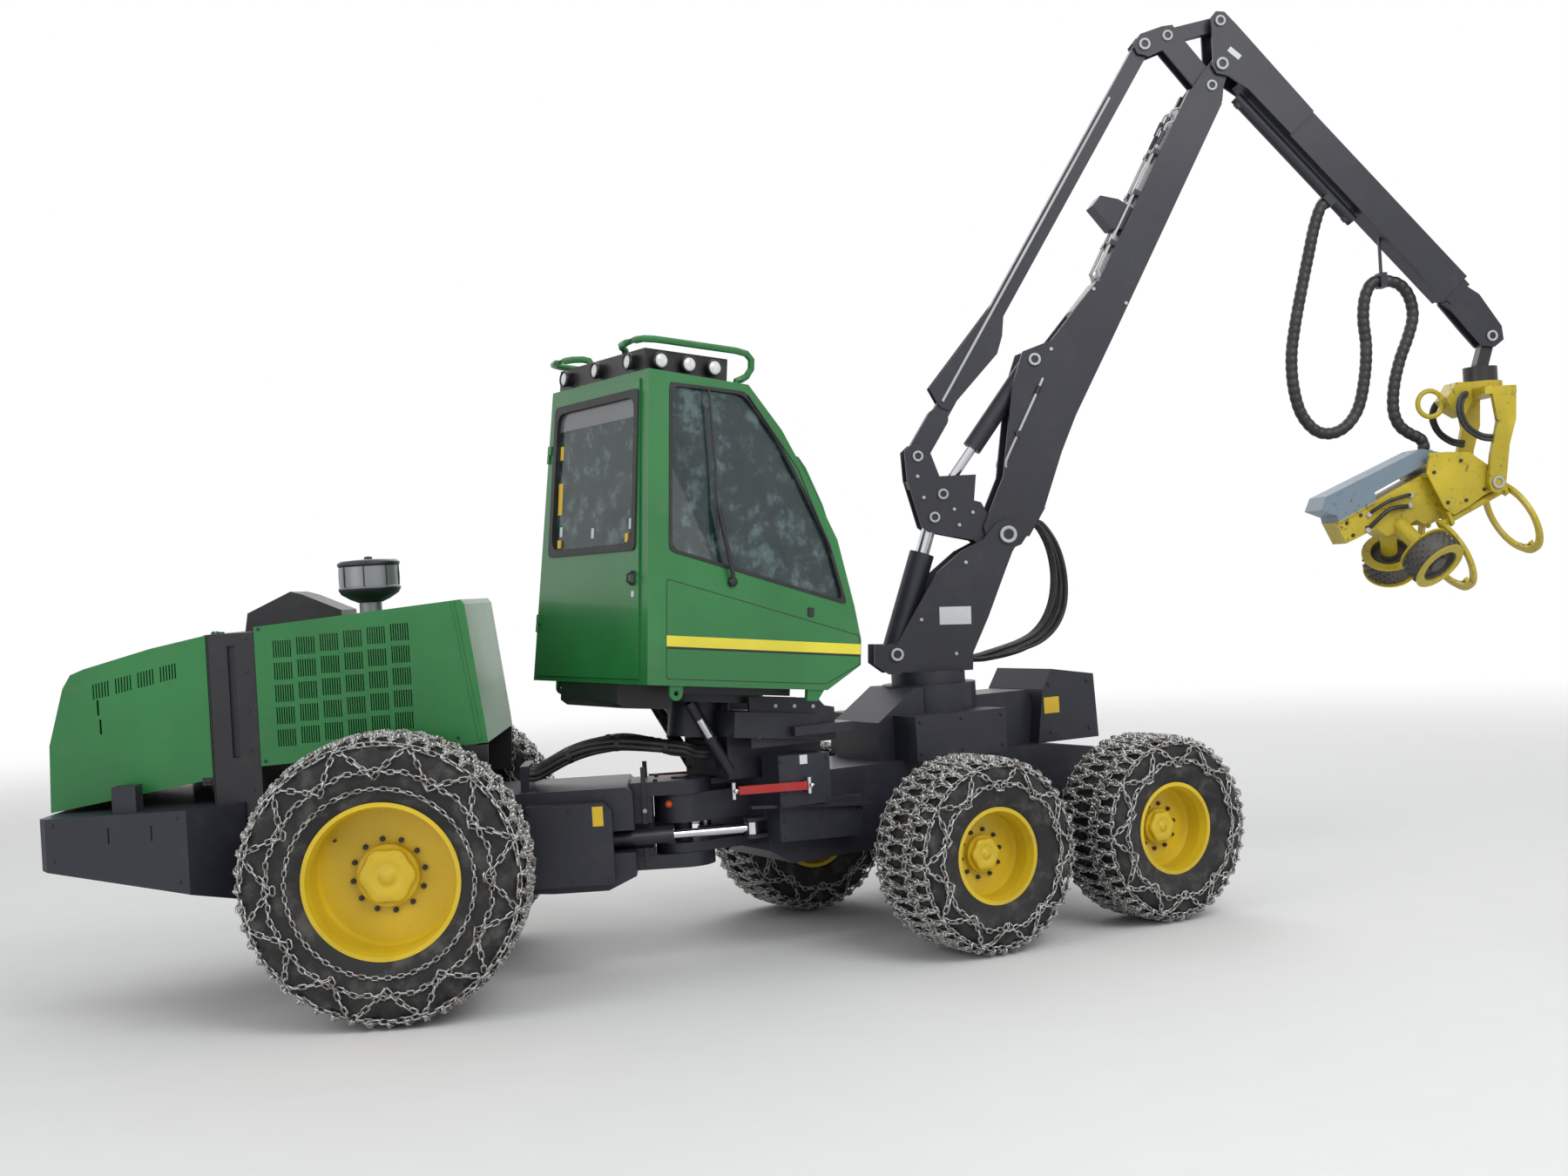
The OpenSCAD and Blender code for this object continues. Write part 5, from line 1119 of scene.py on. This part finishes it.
# %% Chassis trim
red, steel, dark, white, yellow = Mesher(), Mesher(), Mesher(), Mesher(), Mesher()
LEVEL_FOOT, LEVEL_TOP = np.array([0.225, 0.270, 1.240]), np.array([-0.040, 0.270, 1.700])
BASE_SIDE, NOSE_SIDE = 0.550, 0.320
for s in (-1, 1):
    side_prism(red, s, [(0.082, 1.121), (0.578, 1.102), (0.578, 1.154), (0.082, 1.173)], 0.624, 0.648, front)
    for x, z in ((0.050, 1.148), (0.600, 1.1275)):
        add_tube(steel, front([(x, s * 0.635, z - 0.052), (x, s * 0.635, z + 0.052)]), 0.016, 12)
        add_turned(steel, bolt_profile(0.016, 0.022), front([(x, s * 0.656, z)])[0], s * front.axes[1], 6)
    for x in (0.425, 0.560):
        side_block(dark, s, (x, x + 0.030), (1.100, 1.160), 0.598, 0.640, front)
    side_prism(dark, s, [(0.210, 1.030), (1.124, 0.956), (1.124, 0.936), (0.210, 1.010)], 0.517, 0.560, front)
    side_block(white, s, (0.556, 0.612), (1.262, 1.320), 0.600, 0.604, front)
    side_bolts(dark, s, (0.420, 0.760), 0.600, (1.020, 1.290), 0.013, 0.009, front)
    side_bolts(dark, s, (0.470, 0.740, 1.030), 0.520, (0.800, 0.900), 0.012, 0.009, front)
    add_bolts(white, [(x, s * 0.460, 1.682 - 0.0897 * x) for x in (0.480, 0.620, 0.760)], (0, s, 0), 0.014,
              0.012, front)
    add_turned(steel, [(0.046, 0), (0.046, 0.014), (0.034, 0.020), (0.012, 0.020), (0.012, 0.028),
                       (1e-5, 0.028)], front([(0.365, s * 0.459, 1.480)])[0], s * front.axes[1], 24)
    for m, shares, r in ((steel, (0.50, 0.76), 0.0384), (dark, (0.44, 0.50), 0.046)):
        line = [(LEVEL_FOOT + t * (LEVEL_TOP - LEVEL_FOOT)) * (1, s, 1) for t in shares]
        add_tube(m, front(line), r, 20)
    side_block(yellow, s, (2.765, 2.900), (1.385, 1.500), NOSE_SIDE, NOSE_SIDE + 0.003, front)
    side_bolts(dark, s, (2.820, 3.170), NOSE_SIDE, (1.250, 1.590), 0.013, 0.009, front)
    side_bolts(dark, s, (1.540, 1.875, 2.210), BASE_SIDE, (1.230, 1.440), 0.013, 0.009, front)
add_prism(dark, [(0.580, 1.490), (0.580, 1.683), (0.900, 1.650), (0.900, 1.490)], -0.020, 0.020, front)
red.piece("lock_bars", RED, "front_frame", smooth=False)
steel.piece("bright_trim", CHROME, "front_frame")
dark.piece("frame_trim", CHARCOAL, "front_frame", smooth=False)
white.piece("white_trim", WHITE, "front_frame", smooth=False)
yellow.piece("nose_plates", PLATE_YELLOW, "front_frame", smooth=False)

plug = Mesher()
add_turned(plug, [(0.024, 0), (0.024, 0.016), (0.016, 0.022), (0.016, 0.026), (1e-5, 0.026)],
           (1.639, -0.159, 1.047), (0, -1, 0), 20)
plug.piece("orange_plug", ORANGE, "front_frame")

# Columns: y from and to, z from and to, how far forward. The plug passes before the short one
JOINT_FILL = [(-0.190, 0.190, 0.729, 0.780, 1.532), (-0.100, 0.100, 0.780, 0.940, 1.532),
              (-0.190, -0.100, 0.940, 1.111, 1.528), (-0.100, 0.060, 0.940, 1.111, 1.503),
              (0.060, 0.190, 0.940, 1.111, 1.532)]
m, plates, TANK_SIDE = Mesher(), Mesher(), 0.560
for s in (-1, 1):
    side_bolts(m, s, (0.785, 1.030, 1.265), TANK_SIDE, (0.645, 1.090), 0.013, 0.009)
    side_block(plates, s, (1.172, 1.238), (0.986, 1.108), TANK_SIDE, TANK_SIDE + 0.003, rear)
add_bolts(m, [(x, y, 1.200) for x in (1.480, 1.560) for y in (-0.150, 0.150)], (0, 0, 1), 0.016, 0.014)
for y0, y1, z0, z1, x1 in JOINT_FILL:
    add_block(m, (1.415, y0, z0), (x1, y1, z1), rear)
for s in (-1, 1):
    for low, high in ((0.660, 0.785), (0.935, 1.300)):
        side_block(m, s, (1.470, 1.500), (low, high), 0.199, 0.209, rear)
m.piece("rear_bolts", CHARCOAL, "rear_frame", smooth=False)
m = Mesher()
add_bolts(m, [(1.485, s * 0.209, 1.020) for s in (-1, 1)], (0, -1, 0), 0.016, 0.012)
m.piece("joint_bolts", CAP_GREY, "rear_frame", smooth=False)
plates.piece("rear_plates", PLATE_YELLOW, "rear_frame", smooth=False)

# %% [markdown]
# Every pin of the crane ends in a pale ring with a dark middle, its keeper. One table names the body, the
# pins and how far each stands out, and one closed section is turned round each of them on both sides. Small
# grease heads, steel pipes with unions along the boom's back and two white plates without words go with them.

# %% Pins and pipes of the crane
# Columns: body, half the width between the rings, radius, places in the crane's plane
PINS = [("column", 0.162, 0.061, [(0.600, 2.675)]), ("column", 0.158, 0.046, [(-0.240, 1.880)]),
        ("rocker", 0.094, 0.038, [(0.095, 2.825), (0.165, 2.985), (0, 3.260)]),
        ("main_boom", 0.128, 0.044, [(0.870, 3.900)]), ("main_boom", 0.093, 0.038, [(2.297, 5.811)]),
        ("link_lever", 0.068, 0.038, [(1.998, 6.183)]), ("link_lever", 0.069, 0.042, [(1.825, 6.125)]),
        ("stick", 0.121, 0.038, [(2.377, 6.265)]), ("stick", 0.123, 0.045, [(2.373, 5.956)]),
        ("hanger", 0.076, 0.040, [(4.320, 3.930)]), ("head", 0.287, 0.046, [(4.190, 2.850)])]
# Columns: body, half the width between the heads, places in the crane's plane
GREASE = [("rocker", 0.090, [(-0.011, 3.118), (0.025, 2.967), (0.238, 2.873), (0.370, 2.845), (0.268, 2.761),
                             (0.640, 2.720)]),
          ("column", 0.150, [(0.285, 2.495), (-0.054, 2.112), (0.180, 1.860)]),
          ("main_boom", 0.120, [(0.995, 3.967), (1.330, 4.380), (1.560, 4.270)])]
for body in dict.fromkeys([row[0] for row in PINS]):
    m = Mesher()
    for where, half, r, places in PINS:
        for (x, z), s in ((p, s) for p in places if where == body for s in (-1, 1)):
            add_turned(m, [(r, -0.001), (r, 0.009), (0.9 * r, 0.012), (0.66 * r, 0.012), (0.60 * r, 0.007),
                           (0.60 * r, -0.001), (r, -0.001)], crane([(x, s * half, z)])[0], s * crane.axes[1],
                       28)
    for where, half, places in GREASE:
        for s in (-1, 1) if where == body else ():
            add_bolts(m, [(x, s * half, z) for x, z in places], (0, s, 0), 0.014, 0.012, crane)
    m.piece("pin_rings_" + body, CAP_GREY, body)


BACK_FROM, BACK_DIR = (1.240, 4.200), (0.4867, 0.8736)


def boom_back(s, off, y):
    """A point s metres up the boom's back edge and off metres behind it."""
    (x, z), (dx, dz) = BACK_FROM, BACK_DIR
    return (x + dx * s - dz * off, y, z + dz * s + dx * off)


m, unions = Mesher(), Mesher()
for y, top in ((-0.100, 1.36), (-0.060, 1.48), (0.060, 1.36), (0.100, 1.48)):
    low = [(0.30, -0.010), (0.34, 0.028), (0.42, 0.036), (top, 0.036)]
    high = [(top + 0.09, 0.036), (top + 0.16, 0.034), (top + 0.20, -0.012)]
    for path, count in ((low, 24), (high, 14)):
        add_tube(m, crane(smooth_path([boom_back(a, off, y) for a, off in path], count)), 0.0085, 10)
    add_tube(unions, crane([boom_back(top - 0.01, 0.036, y), boom_back(top + 0.10, 0.036, y)]), 0.0155, 6)
for s in (0.55, 0.95, 1.28):
    for y in (-0.100, 0.060):
        clamp = [boom_back(a, off, 0)[::2] for a, off in ((s, 0.0), (s + 0.035, 0.0), (s + 0.035, 0.048),
                                                          (s, 0.048))]
        add_prism(unions, clamp, y - 0.018, y + 0.058, crane)
for s in (-1, 1):
    y = s * 0.131
    add_tube(m, crane(smooth_path([(0.622, s * 0.115, 3.150), (0.629, y, 3.210), (0.756, y, 3.450),
                                   (0.885, y, 3.692), (0.925, s * 0.115, 3.765)], 30)), 0.0095, 10)
    add_tube(unions, crane([(0.865, y, 3.655), (0.893, y, 3.708)]), 0.017, 6)
    side_block(unions, s, (0.700, 0.740), (3.360, 3.400), 0.118, 0.143, crane)
m.piece("boom_pipes", CAP_GREY, "main_boom")

BAR_FROM, BAR_SPAN, BAR_FACE, BAR_OFF = (0.170, 3.520), np.array([1.655, 2.605]) / 3.086, 0.062, 0.034
m, (x, z), (dx, dz) = Mesher(), BAR_FROM, BAR_SPAN
for s in (-1, 1):
    path = [(x + a * dx - BAR_OFF * dz, s * BAR_FACE, z + a * dz + BAR_OFF * dx)
            for a in (0.12, 1.0, 2.0, 2.62)]
    add_tube(m, crane(path), 0.010, 10)
m.piece("bar_pipes", CAP_GREY, "rear_bar")
unions.piece("boom_unions", CHARCOAL, "main_boom", smooth=False)

m = Mesher()
for s in (-1, 1):
    side_prism(m, s, [(0.075, 2.070), (0.300, 2.062), (0.304, 2.186), (0.079, 2.194)], 0.149, 0.153, crane)
m.piece("column_plates", WHITE, "column", smooth=False)
m, mid, along, over = Mesher(), np.array([2.470, 6.030]), np.array([0.763, -0.646]), np.array([0.646, 0.763])
for s in (-1, 1):
    corners = [mid + a * along + b * over for a, b in box_outline(-0.052, -0.020, 0.052, 0.020)]
    side_prism(m, s, corners, 0.114, 0.118, crane)
m.piece("stick_plates", WHITE, "stick", smooth=False)

# %% [markdown]
# A feed roller is a drum between two yellow rims, set with rows of blunt teeth that grip the trunk, and its
# motor fills the middle. Drum, rims and motor are turned, and the teeth are short pyramids laid out by angle
# and height, every second row half a step on. The head also shows bolts, short lines and their unions, and
# two bundles of hoses loop from the rotator down to it.

# %% Head
def turn_x(deg):
    """Rows are the turned axes for a turn about X that lifts y."""
    c, s = math.cos(math.radians(deg)), math.sin(math.radians(deg))
    return np.array([[1.0, 0, 0], [0, c, s], [0, -s, c]])


for s, name in ((-1, "right"), (1, "left")):
    at = head.inner((-0.725, s * 0.330, -0.230), turn_x(s * 40))
    drum, rims = Mesher(), Mesher()
    middle, axis = at((0, 0, 0)), at.axes[2]
    add_turned(drum, [(1e-5, -0.080), (0.060, -0.080), (0.066, -0.070), (0.066, -0.050), (0.120, -0.046),
                      (0.128, -0.080), (0.172, -0.083), (0.176, -0.070), (0.176, 0.070), (0.172, 0.083),
                      (0.128, 0.080), (0.120, 0.046), (0.066, 0.050), (0.066, 0.088), (1e-5, 0.088)], middle,
               axis, 48)
    for h in (-0.095, 0.081):
        add_turned(rims, [(0.136, h), (0.196, h), (0.200, h + 0.004), (0.200, h + 0.010), (0.196, h + 0.014),
                          (0.136, h + 0.014), (0.136, h)], middle, axis, 48)
    rows = [(a + 0.5 * (k % 2), h) for k, h in enumerate((-0.058, -0.029, 0.0, 0.029, 0.058))
            for a in range(18)]
    turn, h = 2 * np.pi * np.array([a for a, _ in rows]) / 18, np.array([h for _, h in rows])
    out = np.column_stack([np.cos(turn), np.sin(turn), 0 * turn])
    studs(drum, 0.174 * out + h[:, None] * [0, 0, 1], out, 0.011, 0.026, at)
    drum = drum.piece("drum_" + name, DRUM, "roller_" + name, smooth=False)
    rims.piece("roller_rims_" + name, HEAD_YELLOW, "roller_" + name, smooth=False)
    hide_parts("roller_" + name)

bolts, hoses, bright = Mesher(), Mesher(), Mesher()
for s in (-1, 1):
    add_bolts(bolts, [(x, s * 0.225, z) for x, z in ((-0.380, 0.040), (-0.250, -0.010), (-0.090, -0.005),
                                                     (0.030, 0.030), (-0.370, 0.280), (-0.150, 0.260))],
              (0, s, 0), 0.014, 0.011, head)
    add_bolts(bolts, [(x, s * 0.120, z) for x in (-1.080, -0.960) for z in (0.150, 0.250)], (0, s, 0), 0.014,
              0.011, head)
    add_tube(hoses,
             head(smooth_path([(-0.620, s * 0.110, 0.140), (-0.640, s * 0.145, 0.150),
                               (-0.760, s * 0.160, 0.190), (-0.900, s * 0.150, 0.160),
                               (-0.960, s * 0.112, 0.130)], 30)), 0.016, 10)
    add_tube(hoses,
             head(smooth_path([(-0.560, s * 0.110, 0.200), (-0.590, s * 0.150, 0.215),
                               (-0.740, s * 0.158, 0.245), (-0.860, s * 0.150, 0.240),
                               (-0.900, s * 0.112, 0.225)], 30)), 0.013, 10)
    for x, z in ((-0.600, 0.140), (-0.560, 0.200), (-0.965, 0.130), (-0.905, 0.225)):
        add_bolts(bright, [(x, s * 0.119, z)], (0, s, 0), 0.022, 0.020, head)
for s, name in ((-1, "right"), (1, "left")):
    route = [(4.060, s * 0.085, 3.500), (4.050, s * 0.140, 3.505), (3.990, s * 0.190, 3.470),
             (3.965, s * 0.210, 3.370), (4.010, s * 0.215, 3.260), (4.110, s * 0.222, 3.190),
             (4.215, s * 0.243, 3.170)]
    bundle("saddle_hoses_" + name, crane(route), "tilt_frame", 0.030, 4, 30, 0)
bolts.piece("head_bolts", CHARCOAL, "head", smooth=False)
hoses.piece("head_lines", HOSE, "head")
bright.piece("head_unions", CAP_GREY, "head", smooth=False)
